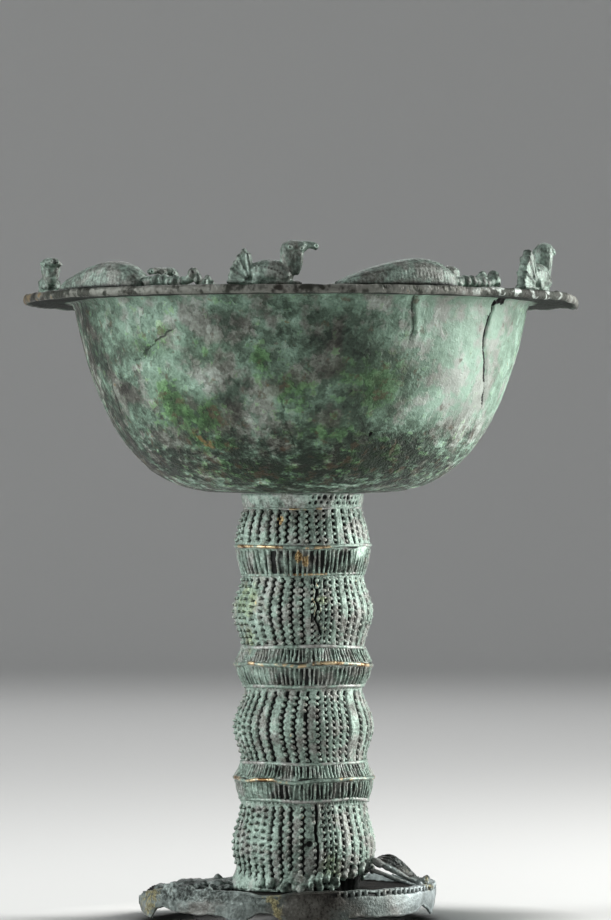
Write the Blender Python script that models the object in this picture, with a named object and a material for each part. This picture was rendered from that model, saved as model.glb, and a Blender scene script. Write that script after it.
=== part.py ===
"""A cast bronze ceremonial cup, in metres, +Z up.

A round hollow bowl with a wide flat rim stands on a tall hollow stem, worked in beaded swellings and thread
rings. The stem stands on a low round foot with a ragged lower edge. Birds and tortoises follow each other round
the rim. The foot rests on Z = 0 and the rim is centred on the Z axis. The front of the cup faces -Y.
An angle round the cup is in degrees from that front, and grows towards +X.
"""

import math
import random

import bmesh
import bpy
from mathutils import Vector

# Fit between two pieces that touch
FIT_GAP = 0.0003

# Foot: a low drum, open below, with a plate that carries the stem
FOOT_RADIUS = 0.0594
FOOT_SHIFT = -0.0054  # the foot's centre along X, off the rim's axis
FOOT_HEIGHT = 0.0156
FOOT_BAND = 0.0040  # thickness of the upright band
FOOT_PLATE = 0.0029  # thickness of the plate
FOOT_TROUGH = 0.0032  # how far the plate lies below the band's lip
FOOT_LIP_ROUND = 0.0008
FOOT_HOLE_RADIUS = 0.0165
FOOT_WORN_GAP = 0.0056  # height of the broken lower edge above the ground
FOOT_LUMP = 0.0007  # unevenness of the upper lip
FOOT_SAG = 0.0036  # how far the lip has come down at the back left
FOOT_SAG_ANGLE = -120.0
FOOT_SAG_HALF_WIDTH = 80.0
FOOT_SEGMENTS = 48

# Where the band still reaches down: (angle, half its width in degrees, how much of the gap it closes)
FOOT_PADS = (
    (-72.0, 6.0, 1.0),
    (16.0, 21.0, 1.0),
    (86.0, 7.0, 0.6),
    (135.0, 15.0, 1.0),
    (-141.0, 18.0, 1.0),
)

# The bent strap that rises from the plate beside the stem and comes down on the band
STRAP_ANGLE = 80.0
STRAP_THICKNESS = 0.0022
STRAP_WIDTH = 0.0090
STRAP_RISE = 0.0125  # its crown above the plate
STRAP_CLEARANCE = 0.0022  # from the stem
STRAP_LEAN = 2.3  # 1 puts the crown half way out, and more brings it nearer to the stem
STRAP_BEND = 1.3  # 1 is a round bend, and more straightens its two sides
STRAP_STEPS = 7

# Stem: sections from the bottom up, each with its height, its radius at its foot and at its top, and how far it
# swells between the two
STEM_SHIFT = 0.0006  # the stem's axis along X at its top, off the rim's axis
STEM_LEAN = 0.0008  # how much further along X the stem's axis is at its foot
STEM_SECTIONS = (
    ("beaded", 0.0113, 0.0280, 0.0269, 0.0000),
    ("beaded", 0.0232, 0.0269, 0.0252, 0.0024),
    ("ribbed", 0.0089, 0.0252, 0.0277, 0.0000),
    ("thread", 0.0014, 0.0286, 0.0286, 0.0000),
    ("ribbed", 0.0055, 0.0278, 0.0250, 0.0000),
    ("beaded", 0.0296, 0.0250, 0.0235, 0.0037),
    ("ribbed", 0.0091, 0.0235, 0.0273, 0.0000),
    ("thread", 0.0014, 0.0281, 0.0281, 0.0000),
    ("ribbed", 0.0059, 0.0272, 0.0245, 0.0000),
    ("beaded", 0.0284, 0.0245, 0.0244, 0.0036),
    ("ribbed", 0.0109, 0.0244, 0.0269, 0.0000),
    ("thread", 0.0014, 0.0278, 0.0278, 0.0000),
    ("beaded", 0.0149, 0.0271, 0.0235, 0.0004),
    ("plain", 0.0055, 0.0237, 0.0246, 0.0000),
)
STEM_ROWS = 34  # upright rows of beads or ribs round the stem
STEM_RELIEF = 0.0009  # how far the rows stand out
STEM_WALL = 0.0026  # at the thinnest waist, below the relief
BEADED_STEP = 0.0082  # height between the levels of a beaded section
SECTION_EASE = 0.0002  # each section stops this far short of the next

# Bowl: a deep round vessel with a flat floor and a wide flat rim
BOWL_FLOOR_RADIUS = 0.0270
BOWL_WALL = 0.0028
BOWL_SOFT_CURVE = 0.0139  # reach of the wall's curve from the floor outwards
BOWL_SOFT_RISE = 0.0010
BOWL_STEEP_CURVE = 0.0794  # reach of the wall's curve down from the rim
BOWL_STEEP_LEAN = 0.0143
BOWL_STEPS = 7
BOWL_HEIGHT = 0.0756  # from the floor's underside to the rim's underside
MOUTH_RADIUS = 0.0908  # outside of the wall under the rim
RIM_RADIUS = 0.1112
RIM_THICKNESS = 0.0026
RIM_LIP = 0.0005  # how far the outer lip is swollen above and below
RIM_LIP_WIDTH = 0.0024
RIM_FILLET = 0.0020
MOUTH_ROUND = 0.0010
BOWL_SEGMENTS = 48

# The lip that is bent down at the right end of the rim
FOLD_ANGLE = 91.0
FOLD_HALF_WIDTH = 17.0
FOLD_DROP = 0.0022
FOLD_REACH = 0.0123  # from the rim's edge inwards

# Animals on the rim: birds and tortoises in turn, each over its own span of the rim, in degrees.
# One tortoise is lost, at the bent lip.
ANIMAL_INSET = 0.0104  # from the rim's edge to the middle of an animal
BIRDS = (  # name, angle, height
    ("bird_left", -84.0, 0.0150),
    ("bird_front", -6.3, 0.0174),
    ("bird_right", 67.5, 0.0202),
    ("bird_back_right", 138.0, 0.0168),
    ("bird_back_left", 209.0, 0.0164),
)
BIRD_SPAN = 20.35
BIRD_WIDTH = 0.0086
TORTOISES = (  # name, angle
    ("tortoise_front_left", -42.9),
    ("tortoise_front_right", 28.8),
    ("tortoise_back_right", 172.0),
    ("tortoise_back_left", 243.4),
)
TORTOISE_SPAN = 42.52
TORTOISE_HEIGHT = 0.0108
TORTOISE_WIDTH = 0.0166

# Places that follow from the sizes above
PLATE_TOP = FOOT_HEIGHT - FOOT_TROUGH
PLATE_UNDERSIDE = PLATE_TOP - FOOT_PLATE
STEM_BOTTOM = PLATE_TOP + FIT_GAP
STEM_HEIGHT = sum(section[1] for section in STEM_SECTIONS)
BOWL_BOTTOM = STEM_BOTTOM + STEM_HEIGHT + FIT_GAP
RIM_UNDERSIDE = BOWL_BOTTOM + BOWL_HEIGHT
RIM_TOP = RIM_UNDERSIDE + RIM_THICKNESS
FOLD_START_RADIUS = RIM_RADIUS - FOLD_REACH
ANIMAL_RADIUS = RIM_RADIUS - ANIMAL_INSET
BIRD_LENGTH = math.radians(BIRD_SPAN) * ANIMAL_RADIUS
TORTOISE_LENGTH = math.radians(TORTOISE_SPAN) * ANIMAL_RADIUS
STEM_FOOT_SHIFT = STEM_SHIFT + STEM_LEAN
STEM_BORE_RADIUS = min(min(s[2], s[3]) for s in STEM_SECTIONS) - STEM_RELIEF - STEM_WALL


def clear_scene():
    for obj in list(bpy.data.objects):
        bpy.data.objects.remove(obj, do_unlink=True)


def bronze(name, colour, roughness, metallic):
    material = bpy.data.materials.new(name)
    material.use_nodes = True
    shader = material.node_tree.nodes["Principled BSDF"]
    shader.inputs["Base Color"].default_value = (*colour, 1.0)
    shader.inputs["Roughness"].default_value = roughness
    shader.inputs["Metallic"].default_value = metallic
    return material


def around(radius, angle, height, centre_x=0.0):
    """The point at this radius and angle round an upright axis."""
    turn = math.radians(angle)
    return Vector((centre_x + radius * math.sin(turn), -radius * math.cos(turn), height))


def angle_between(angle, other):
    """The smallest difference of two angles, in degrees."""
    return abs((angle - other + 180.0) % 360.0 - 180.0)


def swell(distance, half_width):
    """1 in the middle of a bump, falling smoothly to 0 at its half width."""
    if distance >= half_width:
        return 0.0
    return 0.5 + 0.5 * math.cos(math.pi * distance / half_width)


def skin(name, rings, closed):
    """A mesh over rings of as many points each: closed on itself, or with its two ends filled."""
    form = bmesh.new()
    rows = [[form.verts.new(point) for point in ring] for ring in rings]
    count = len(rows[0])
    pairs = list(zip(rows, rows[1:]))
    if closed:
        pairs.append((rows[-1], rows[0]))
    else:
        form.faces.new(rows[0])
        form.faces.new(rows[-1])
    for row, following in pairs:
        for i in range(count):
            j = (i + 1) % count
            form.faces.new((row[i], row[j], following[j], following[i]))
    bmesh.ops.recalc_face_normals(form, faces=form.faces)
    mesh = bpy.data.meshes.new(name)
    form.to_mesh(mesh)
    form.free()
    return mesh


def add_object(name, mesh, material=None, sharp_angle=35.0):
    obj = bpy.data.objects.new(name, mesh)
    bpy.context.scene.collection.objects.link(obj)
    if material:
        mesh.materials.clear()
        mesh.materials.append(material)
    mesh.shade_smooth()
    mesh.set_sharp_from_angle(angle=math.radians(sharp_angle))
    return obj


def joined(name, meshes):
    """One mesh from meshes that overlap."""
    pieces = [add_object(f"{name}_{i}", mesh) for i, mesh in enumerate(meshes)]
    for other in pieces[1:]:
        union = pieces[0].modifiers.new("Join", "BOOLEAN")
        union.operation = "UNION"
        union.object = other
    graph = bpy.context.evaluated_depsgraph_get()
    mesh = bpy.data.meshes.new_from_object(pieces[0].evaluated_get(graph))
    for piece in pieces:
        bpy.data.objects.remove(piece, do_unlink=True)
    return mesh


def bowl_wall(share):
    """Radius and height on the outside of the bowl, with the outward direction, from floor to rim."""
    start = Vector((BOWL_FLOOR_RADIUS, BOWL_BOTTOM))
    end = Vector((MOUTH_RADIUS, RIM_UNDERSIDE))
    soft = start + Vector((BOWL_SOFT_CURVE, BOWL_SOFT_RISE))
    steep = end - Vector((BOWL_STEEP_LEAN, BOWL_STEEP_CURVE))
    rest = 1.0 - share
    point = rest**3 * start + 3 * rest**2 * share * soft + 3 * rest * share**2 * steep + share**3 * end
    along = rest**2 * (soft - start) + 2 * rest * share * (steep - soft) + share**2 * (end - steep)
    outward = Vector((along.y, -along.x)).normalized()
    return point, outward


def bowl_profile():
    """Radius and height from the middle of the underside, round the rim, to the middle of the floor inside."""
    shares = [i / BOWL_STEPS for i in range(BOWL_STEPS + 1)]
    outside = [bowl_wall(share)[0] for share in shares]
    outside[-1] = outside[-1] - Vector((0.0, RIM_FILLET))
    inside = []
    for share in reversed(shares):
        point, outward = bowl_wall(share)
        inside.append(point - BOWL_WALL * outward)
    inside[-1] = Vector((inside[-1].x, BOWL_BOTTOM + BOWL_WALL))
    inner_mouth = MOUTH_RADIUS - BOWL_WALL
    lip_start = RIM_RADIUS - RIM_LIP_WIDTH
    rim = [
        Vector((MOUTH_RADIUS + RIM_FILLET, RIM_UNDERSIDE)),
        Vector((lip_start, RIM_UNDERSIDE)),
        Vector((RIM_RADIUS - 0.3 * RIM_LIP_WIDTH, RIM_UNDERSIDE - RIM_LIP)),
        Vector((RIM_RADIUS, RIM_UNDERSIDE + 0.5 * RIM_THICKNESS)),
        Vector((RIM_RADIUS - 0.3 * RIM_LIP_WIDTH, RIM_TOP + RIM_LIP)),
        Vector((lip_start, RIM_TOP)),
        Vector((FOLD_START_RADIUS, RIM_TOP)),
        Vector((inner_mouth + MOUTH_ROUND, RIM_TOP)),
        Vector((inner_mouth, RIM_TOP - MOUTH_ROUND)),
    ]
    return outside + rim + inside


def fold_drop(radius, angle):
    """How far the bent part of the rim has come down."""
    reach = max(0.0, (radius - FOLD_START_RADIUS) / (RIM_RADIUS - FOLD_START_RADIUS))
    return FOLD_DROP * reach**1.5 * swell(angle_between(angle, FOLD_ANGLE), FOLD_HALF_WIDTH)


def make_bowl(material):
    rings = []
    for radius, height in bowl_profile():
        ring = []
        for i in range(BOWL_SEGMENTS):
            angle = 360.0 * i / BOWL_SEGMENTS
            ring.append(around(radius, angle, height - fold_drop(radius, angle)))
        rings.append(ring)
    return add_object("bowl", skin("bowl", rings, closed=False), material)


def stem_levels():
    """Height above the stem's foot, radius and relief of each level up the outside of the stem."""
    levels = []
    base = 0.0
    for kind, height, radius, top_radius, swelling in STEM_SECTIONS:
        worked = kind in ("beaded", "ribbed")
        steps = max(1, round(height / BEADED_STEP)) if kind == "beaded" else 1
        for i in range(steps + 1):
            share = i / steps
            level = base + SECTION_EASE + share * (height - 2 * SECTION_EASE)
            outside = radius + share * (top_radius - radius) + swelling * math.sin(math.pi * share) ** 2
            runs_on = levels and i == 0 and worked and levels[-1][1:] == (outside, STEM_RELIEF)
            if not runs_on:
                levels.append((level, outside, STEM_RELIEF if worked else 0.0))
        base += height
    levels[0] = (0.0, *levels[0][1:])
    levels[-1] = (STEM_HEIGHT, *levels[-1][1:])
    return levels


def make_stem(material):
    count = 2 * STEM_ROWS
    rings = []
    inside = [(level, STEM_BORE_RADIUS, 0.0) for level in (STEM_HEIGHT, 0.0)]
    for level, radius, relief in stem_levels() + inside:
        axis = STEM_LEAN * (1.0 - level / STEM_HEIGHT)
        rings.append([around(radius - relief * (i % 2), 360.0 * i / count, level, axis) for i in range(count)])
    stem = add_object("stem", skin("stem", rings, closed=True), material)
    stem.location = (STEM_SHIFT, 0.0, STEM_BOTTOM)
    return stem


def worn_edge(angle):
    """Height of the foot's lower edge above the ground."""
    closed = max(part * min(1.0, 2.0 * swell(angle_between(angle, pad), half)) for pad, half, part in FOOT_PADS)
    return FOOT_WORN_GAP * (1.0 - closed)


def foot_drum():
    lumps = random.Random(4)
    inner = FOOT_RADIUS - FOOT_BAND
    hole_x = STEM_FOOT_SHIFT - FOOT_SHIFT
    rings = [[] for _ in range(10)]
    for i in range(FOOT_SEGMENTS):
        angle = 360.0 * i / FOOT_SEGMENTS
        edge = worn_edge(angle)
        sag = FOOT_SAG * swell(angle_between(angle, FOOT_SAG_ANGLE), FOOT_SAG_HALF_WIDTH)
        lip = FOOT_HEIGHT - sag - FOOT_LUMP * lumps.random()
        column = (
            around(FOOT_RADIUS - FOOT_LIP_ROUND, angle, edge),
            around(FOOT_RADIUS, angle, 0.5 * FOOT_HEIGHT),
            around(FOOT_RADIUS, angle, lip - FOOT_LIP_ROUND),
            around(FOOT_RADIUS - FOOT_LIP_ROUND, angle, lip),
            around(inner + FOOT_LIP_ROUND, angle, lip),
            around(inner, angle, PLATE_TOP),
            around(FOOT_HOLE_RADIUS, angle, PLATE_TOP, hole_x),
            around(FOOT_HOLE_RADIUS, angle, PLATE_UNDERSIDE, hole_x),
            around(inner, angle, PLATE_UNDERSIDE),
            around(inner, angle, edge),
        )
        for ring, point in zip(rings, column):
            ring.append(point)
    return skin("drum", rings, closed=True)


def strap_point(share):
    """How far out from the foot's middle the strap is at this share of its length, and how high."""
    start = STEM_FOOT_SHIFT - FOOT_SHIFT + STEM_SECTIONS[0][2] + STRAP_CLEARANCE + 0.5 * STRAP_THICKNESS
    end = FOOT_RADIUS - 0.5 * FOOT_BAND
    bend = 0.95 * math.pi * share
    reach = (0.5 - 0.5 * math.cos(bend)) ** STRAP_LEAN
    rise = (STRAP_RISE + 0.5 * FOOT_PLATE) * math.sin(bend) ** STRAP_BEND
    return Vector((start + reach * (end - start), PLATE_TOP - 0.5 * FOOT_PLATE + rise))


def foot_strap():
    """A bent bar that starts inside the plate beside the stem and ends inside the band."""
    turn = math.radians(STRAP_ANGLE)
    outward = Vector((math.sin(turn), -math.cos(turn), 0.0))
    across = Vector((math.cos(turn), math.sin(turn), 0.0))
    half_step = 0.5 / STRAP_STEPS
    rings = []
    for i in range(STRAP_STEPS + 1):
        share = i / STRAP_STEPS
        middle = strap_point(share)
        along = strap_point(min(1.0, share + half_step)) - strap_point(max(0.0, share - half_step))
        along.normalize()
        centre = outward * middle.x + Vector((0.0, 0.0, middle.y))
        normal = (outward * -along.y + Vector((0.0, 0.0, along.x))) * 0.5 * STRAP_THICKNESS
        side = across * 0.5 * STRAP_WIDTH
        below, above = centre - normal, centre + normal
        rings.append([below - side, below + side, above + side, above - side])
    return skin("strap", rings, closed=False)


def make_foot(material):
    foot = add_object("foot", joined("foot", [foot_drum(), foot_strap()]), material)
    foot.location = (FOOT_SHIFT, 0.0, 0.0)
    return foot


def on_rim(along, out, up):
    """A point of an animal: its way round the rim, its way outwards and its height, bent to the rim's curve."""
    turn = along / ANIMAL_RADIUS
    radius = ANIMAL_RADIUS + out
    return Vector((radius * math.sin(turn), ANIMAL_RADIUS - radius * math.cos(turn), up))


def loaf(along, half_width, height, sides=6):
    """A section that stands on the rim: flat below and arched above."""
    ring = [on_rim(along, -half_width, 0.0)]
    for i in range(1, sides - 1):
        turn = math.pi * i / (sides - 1)
        ring.append(on_rim(along, -half_width * math.cos(turn), height * math.sin(turn) ** 0.75))
    ring.append(on_rim(along, half_width, 0.0))
    return ring


def oval(along, up, half_width, half_height, sides=6):
    """An upright oval section across the animal."""
    turns = [2 * math.pi * (i + 0.5) / sides for i in range(sides)]
    return [on_rim(along, half_width * math.cos(t), up + half_height * math.sin(t)) for t in turns]


def level_oval(along, up, half_length, half_width, sides=6):
    """A level oval section, for a form that rises."""
    turns = [2 * math.pi * (i + 0.5) / sides for i in range(sides)]
    return [on_rim(along + half_length * math.cos(t), half_width * math.sin(t), up) for t in turns]


def bird_body(height):
    """A low tail root and an oval body, in shares of the bird's length and height."""
    rings = [loaf(-0.50 * BIRD_LENGTH, 0.16 * BIRD_WIDTH, 0.10 * height)]
    fullest = 0.42
    steps = 5
    for i in range(steps + 1):
        share = i / steps
        reach = (share - fullest) / (fullest if share < fullest else 1.0 - fullest)
        fullness = math.sqrt(max(0.0, 1.0 - abs(reach) ** 2.4))
        along = (-0.31 + 0.53 * share) * BIRD_LENGTH
        rings.append(loaf(along, (0.18 + 0.32 * fullness) * BIRD_WIDTH, (0.12 + 0.44 * fullness) * height))
    return skin("body", rings, closed=False)


def bird_neck(height):
    """A broad neck, drawn to a point in front of the body as it comes down."""
    rings = []
    for share in (0.0, 0.3, 0.65, 1.0):
        spread = math.sqrt(share)
        half_length = (0.035 + 0.075 * spread) * BIRD_LENGTH
        along = (0.225 - 0.015 * spread) * BIRD_LENGTH
        rings.append(level_oval(along, (0.16 + 0.70 * share) * height, half_length, 0.42 * BIRD_WIDTH))
    return skin("neck", rings, closed=False)


def bird_head(height):
    """A rounded head that runs out into a broad bill."""
    rings = []
    steps = 6
    for i in range(steps + 1):
        share = i / steps
        along = 0.112 + 0.388 * share
        crown = math.sqrt(max(0.03, 1.0 - ((along - 0.235) / 0.125) ** 2))
        bill = 0.105 - 0.045 * share**2 if share > 0.4 else 0.0
        half_height = max(0.18 * crown, bill) * height
        half_width = max(0.54 * crown, 2.6 * bill) * BIRD_WIDTH
        rings.append(oval(along * BIRD_LENGTH, (0.82 - 0.02 * share) * height, half_width, half_height))
    return skin("head", rings, closed=False)


def bird_tail(height):
    """A ragged upright fan: its back edge climbs by one step for each feather."""
    feathers = 4
    outline = [(-0.48, 0.06)]
    for i in range(feathers):
        back = -0.47 + 0.045 * i
        outline.append((back, 0.30 + 0.16 * i))
        outline.append((back + 0.032, 0.33 + 0.16 * i))
    outline += [(-0.265, 0.76), (-0.215, 0.62), (-0.22, 0.06)]
    half_thickness = 0.29 * BIRD_WIDTH
    rings = []
    for side in (-half_thickness, half_thickness):
        rings.append([on_rim(along * BIRD_LENGTH, side, up * height) for along, up in outline])
    return skin("tail", rings, closed=False)


def make_bird(name, angle, height, material):
    parts = [bird_body(height), bird_neck(height), bird_head(height), bird_tail(height)]
    return place_animal(name, joined(name, parts), angle, material)


def tortoise_body():
    """A domed shell with its crown towards the front, a low knobbed neck and a round head."""
    crown = 0.66
    shell_share = 0.655
    rings = []
    steps = 7
    for i in range(steps + 1):
        share = i / steps
        reach = (share - crown) / (crown if share < crown else 1.0 - crown)
        if share < crown:
            arch = max(0.0, 1.0 - abs(reach) ** 1.5) ** 1.2
        else:
            arch = max(0.0, 1.0 - reach**2.2) ** 0.6
        along = (shell_share * share - 0.5) * TORTOISE_LENGTH
        side = math.sqrt(max(0.0, 1.0 - (2 * share - 1) ** 4))
        half_width = (0.16 + 0.34 * side) * TORTOISE_WIDTH
        rings.append(loaf(along, half_width, (0.16 + 0.84 * arch) * TORTOISE_HEIGHT))
    for place, half_width, height in (
        (0.672, 0.14, 0.26),
        (0.745, 0.19, 0.44),
        (0.795, 0.14, 0.30),
        (0.850, 0.18, 0.40),
        (0.895, 0.13, 0.34),
        (0.930, 0.20, 0.60),
        (0.965, 0.20, 0.62),
        (1.000, 0.10, 0.34),
    ):
        along = (place - 0.5) * TORTOISE_LENGTH
        rings.append(loaf(along, half_width * TORTOISE_WIDTH, height * TORTOISE_HEIGHT))
    return skin("tortoise", rings, closed=False)


def place_animal(name, mesh, angle, material):
    animal = add_object(name, mesh, material, sharp_angle=50.0)
    animal.location = around(ANIMAL_RADIUS, angle, RIM_TOP + FIT_GAP)
    animal.rotation_euler = (0.0, 0.0, math.radians(angle))
    return animal


def make_animals(material):
    for name, angle, height in BIRDS:
        make_bird(name, angle, height, material)
    for name, angle in TORTOISES:
        place_animal(name, tortoise_body(), angle, material)


def main():
    clear_scene()
    make_foot(bronze("dark_worn_bronze", (0.17, 0.17, 0.13), 0.45, 0.8))
    make_stem(bronze("grey_green_bronze", (0.20, 0.25, 0.21), 0.6, 0.6))
    make_bowl(bronze("green_patina_bronze", (0.15, 0.24, 0.19), 0.65, 0.5))
    make_animals(bronze("pale_grey_bronze", (0.22, 0.26, 0.23), 0.6, 0.6))


main()
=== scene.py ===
"""The looks of a cast bronze ceremonial cup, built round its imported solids, in metres, +Z up.

An angle round the cup is in radians from the front, -Y, and grows towards +X.
"""

import math

import bmesh
import bpy
import numpy as np
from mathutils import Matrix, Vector, kdtree, noise


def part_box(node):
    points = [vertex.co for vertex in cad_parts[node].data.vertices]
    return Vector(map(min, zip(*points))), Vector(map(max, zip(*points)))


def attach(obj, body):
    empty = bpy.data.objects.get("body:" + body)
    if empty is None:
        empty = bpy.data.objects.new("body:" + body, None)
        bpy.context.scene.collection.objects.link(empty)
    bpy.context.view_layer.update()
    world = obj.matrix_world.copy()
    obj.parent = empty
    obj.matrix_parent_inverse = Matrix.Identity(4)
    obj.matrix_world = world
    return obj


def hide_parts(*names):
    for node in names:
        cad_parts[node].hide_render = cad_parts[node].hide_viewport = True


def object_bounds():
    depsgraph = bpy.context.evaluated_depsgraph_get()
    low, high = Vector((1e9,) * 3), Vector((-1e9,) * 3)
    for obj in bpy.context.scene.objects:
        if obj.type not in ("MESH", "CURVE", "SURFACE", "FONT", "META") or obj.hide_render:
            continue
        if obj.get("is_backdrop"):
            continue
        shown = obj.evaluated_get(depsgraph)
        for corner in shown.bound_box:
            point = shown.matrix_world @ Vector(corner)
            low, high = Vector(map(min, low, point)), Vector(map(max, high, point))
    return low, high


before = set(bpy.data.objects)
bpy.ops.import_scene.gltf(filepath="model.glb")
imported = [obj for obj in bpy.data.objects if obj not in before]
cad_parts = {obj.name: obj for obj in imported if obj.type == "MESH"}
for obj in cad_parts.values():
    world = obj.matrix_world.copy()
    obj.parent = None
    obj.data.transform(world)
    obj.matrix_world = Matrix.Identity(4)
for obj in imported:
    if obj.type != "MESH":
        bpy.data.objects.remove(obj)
CAD_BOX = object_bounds()
TAU = 2.0 * math.pi
MM = 0.001

# Photograph: the places in it that fix the camera, in pixels
MIDDLE_COLUMN = 305.5
MIDDLE_ROW = 460.0
PHOTO_HEIGHT = 920.0
HORIZON_ROW = 523.0  # what stands at the camera's own height
GROUND_ROW = 919.0  # the ground under the rim's axis
AXIS_COLUMN = 301.0
PIXEL = 0.0004  # what one pixel spans at the rim's axis
EYE_DISTANCE = 2.04
EYE = Vector(((MIDDLE_COLUMN - AXIS_COLUMN) * PIXEL, -EYE_DISTANCE, (GROUND_ROW - HORIZON_ROW) * PIXEL))
FOCAL = EYE_DISTANCE / PIXEL  # in pixels
SENSOR = 36.0

# Bowl
BOWL_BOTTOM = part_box("bowl")[0].z
RIM_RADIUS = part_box("bowl")[1].x
RIM_LIP = 0.5 * MM  # how far the outer lip is swollen above and below
RIM_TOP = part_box("bowl")[1].z - RIM_LIP
RIM_THICKNESS = 2.6 * MM
RIM_UNDERSIDE = RIM_TOP - RIM_THICKNESS
RIM_LIP_WIDTH = 2.6 * MM
BOWL_WALL = 2.8 * MM
FLOOR_RADIUS = 27.0 * MM
MOUTH_RADIUS = 90.8 * MM
SOFT_CURVE = Vector((13.9 * MM, 1.0 * MM))  # from the floor's edge outwards
STEEP_CURVE = Vector((14.3 * MM, 79.4 * MM))  # from the rim down
FILLET = 2.0 * MM
FOLD_ANGLE = math.radians(91.0)
FOLD_HALF_WIDTH = math.radians(17.0)
FOLD_DROP = 2.2 * MM
FOLD_REACH = 12.3 * MM
BOWL_COLUMNS = 560
WALL_RINGS = 84

# Stem: sections from the bottom up, each with height, radii at its foot and top, and swelling, in mm
STEM_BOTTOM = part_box("stem")[0].z
STEM_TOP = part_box("stem")[1].z
STEM_SHIFT = 0.6 * MM
STEM_LEAN = 0.8 * MM
BORE_RADIUS = 20.0 * MM
SECTIONS = (
    ("beaded", 34.5, 25.8, 25.2, 3.0),
    ("ribbed", 8.9, 25.2, 27.6, 0.5),
    ("thread", 1.4, 28.0, 28.0, 0.0),
    ("ribbed", 5.5, 27.8, 25.0, 0.0),
    ("beaded", 29.6, 25.0, 23.5, 3.7),
    ("ribbed", 9.1, 23.5, 27.2, 0.7),
    ("thread", 1.4, 27.6, 27.6, 0.0),
    ("ribbed", 5.9, 27.2, 24.5, 0.0),
    ("beaded", 28.4, 24.5, 24.4, 3.6),
    ("ribbed", 10.9, 24.4, 26.9, 0.4),
    ("thread", 1.4, 27.2, 27.2, 0.0),
    ("beaded", 14.9, 27.1, 23.5, 0.4),
    ("plain", 5.5, 23.7, 24.6, 0.0),
)
STEM_REACH = 28.0  # mm; the stem's usual radius, which turns an angle into a width
RING_STEP = 0.72 * MM  # height between the rings of its mesh
GROOVE_DEPTH = 1.5 * MM
STEM_PIT_DEPTH = 0.9 * MM
SPLIT_DEPTH = 1.8 * MM
CASTING_HOLE_DEPTH = 2.2 * MM
TORN_DEPTH = 3.6 * MM
FLARE_REACH = 4.6 * MM  # how far the stem's lower left stands out

# Animals
ANIMAL_RADIUS = RIM_RADIUS - 10.4 * MM
ANIMAL_BASE = RIM_TOP + 0.3 * MM
BIRD_LENGTH = 35.8
BIRD_WIDTH = 8.6
TORTOISE_LENGTH = 74.8
TORTOISE_HEIGHT = 10.8
TORTOISE_WIDTH = 16.6


def smooth(low, high, value):
    """0 below low, 1 above high, and a soft step between them."""
    share = np.clip((value - low) / (high - low), 0.0, 1.0)
    return share * share * (3.0 - 2.0 * share)


def bump(distance, width):
    """1 where the distance is 0, fading out at about twice the width."""
    return np.exp(-((distance / width) ** 2))


def lumps(points, scale, octaves=3, shift=0.0):
    """Noise at each point, about -1 to 1; the scale is in lumps to the points' unit of length."""
    flat = points.reshape(-1, 3) * scale + shift
    return np.array([noise.fractal(Vector(p), 1.0, 2.0, octaves) for p in flat]).reshape(points.shape[:-1])


def shaken(points, scale, octaves, step, start=0.0):
    """Noise at each point in all three directions."""
    return np.stack([lumps(points, scale, octaves, start + step * i) for i in range(3)], -1)


def round_noise(angles, scale, level=0.0, octaves=3):
    """Noise along a circle, so that it closes on itself."""
    places = [Vector((scale * math.sin(a), scale * math.cos(a), level)) for a in angles]
    return np.array([noise.fractal(place, 1.0, 2.0, octaves) for place in places])


def turned(angle, other):
    """The signed difference of two angles."""
    return (angle - other + math.pi) % TAU - math.pi


def sector(angle, middle, width):
    """1 at a middle given in degrees, fading out at about twice the width, which is in radians."""
    return bump(turned(angle, math.radians(middle)), width)


def fade(angle, low, high):
    """A soft step round the cup, 0 at low and 1 at high, both in degrees."""
    return smooth(math.radians(low), math.radians(high), turned(angle, 0.0))


def swell(angle, middle, half_width):
    """1 at the middle, falling to 0 at the half width, all in radians."""
    apart = np.abs(turned(angle, middle))
    return np.where(apart < half_width, 0.5 + 0.5 * np.cos(math.pi * apart / half_width), 0.0)


def round_axis(radius, angle, height, axis_x=0.0):
    """Points round an upright axis, from arrays that fit each other."""
    return np.stack(np.broadcast_arrays(axis_x + radius * np.sin(angle), -radius * np.cos(angle), height), -1)


def evenly(values, steps, count):
    """This many of the values, so that the steps between each two add up to the same."""
    run = np.concatenate(((0.0,), np.cumsum(steps)))
    return np.interp(np.linspace(0.0, run[-1], count), run, values)


def seen_at(column, row, radius_at, axis_x=0.0):
    """Angle and height of the place on a turned form that the photograph shows at this pixel."""
    depth = EYE_DISTANCE
    for _ in range(8):
        x = EYE.x + (column - MIDDLE_COLUMN) * depth / FOCAL - axis_x
        height = EYE.z - (row - HORIZON_ROW) * depth / FOCAL
        radius = float(radius_at(height))
        y = -math.sqrt(max(0.0, radius**2 - x**2))
        depth = EYE_DISTANCE + y
    return math.atan2(x, -y), height


def gathered(items, name, width, kind=np.float32):
    """What each vertex, edge or face of a mesh holds under a name, as rows of this many numbers."""
    values = np.empty(len(items) * width, kind)
    items.foreach_get(name, values)
    return values.reshape(-1, width)


def mesh_of(name, points, faces):
    """A closed mesh with its faces pointing out."""
    mesh = bpy.data.meshes.new(name)
    mesh.from_pydata(np.asarray(points).tolist(), [], faces)
    mesh.update()
    mesh.calc_loop_triangles()
    corners = gathered(mesh.loop_triangles, "vertices", 3, np.int32)
    a, b, c = np.asarray(points)[corners].transpose(1, 0, 2)
    if np.einsum("ij,ij->i", a, np.cross(b, c)).sum() < 0.0:
        mesh.flip_normals()
    return mesh


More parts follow.
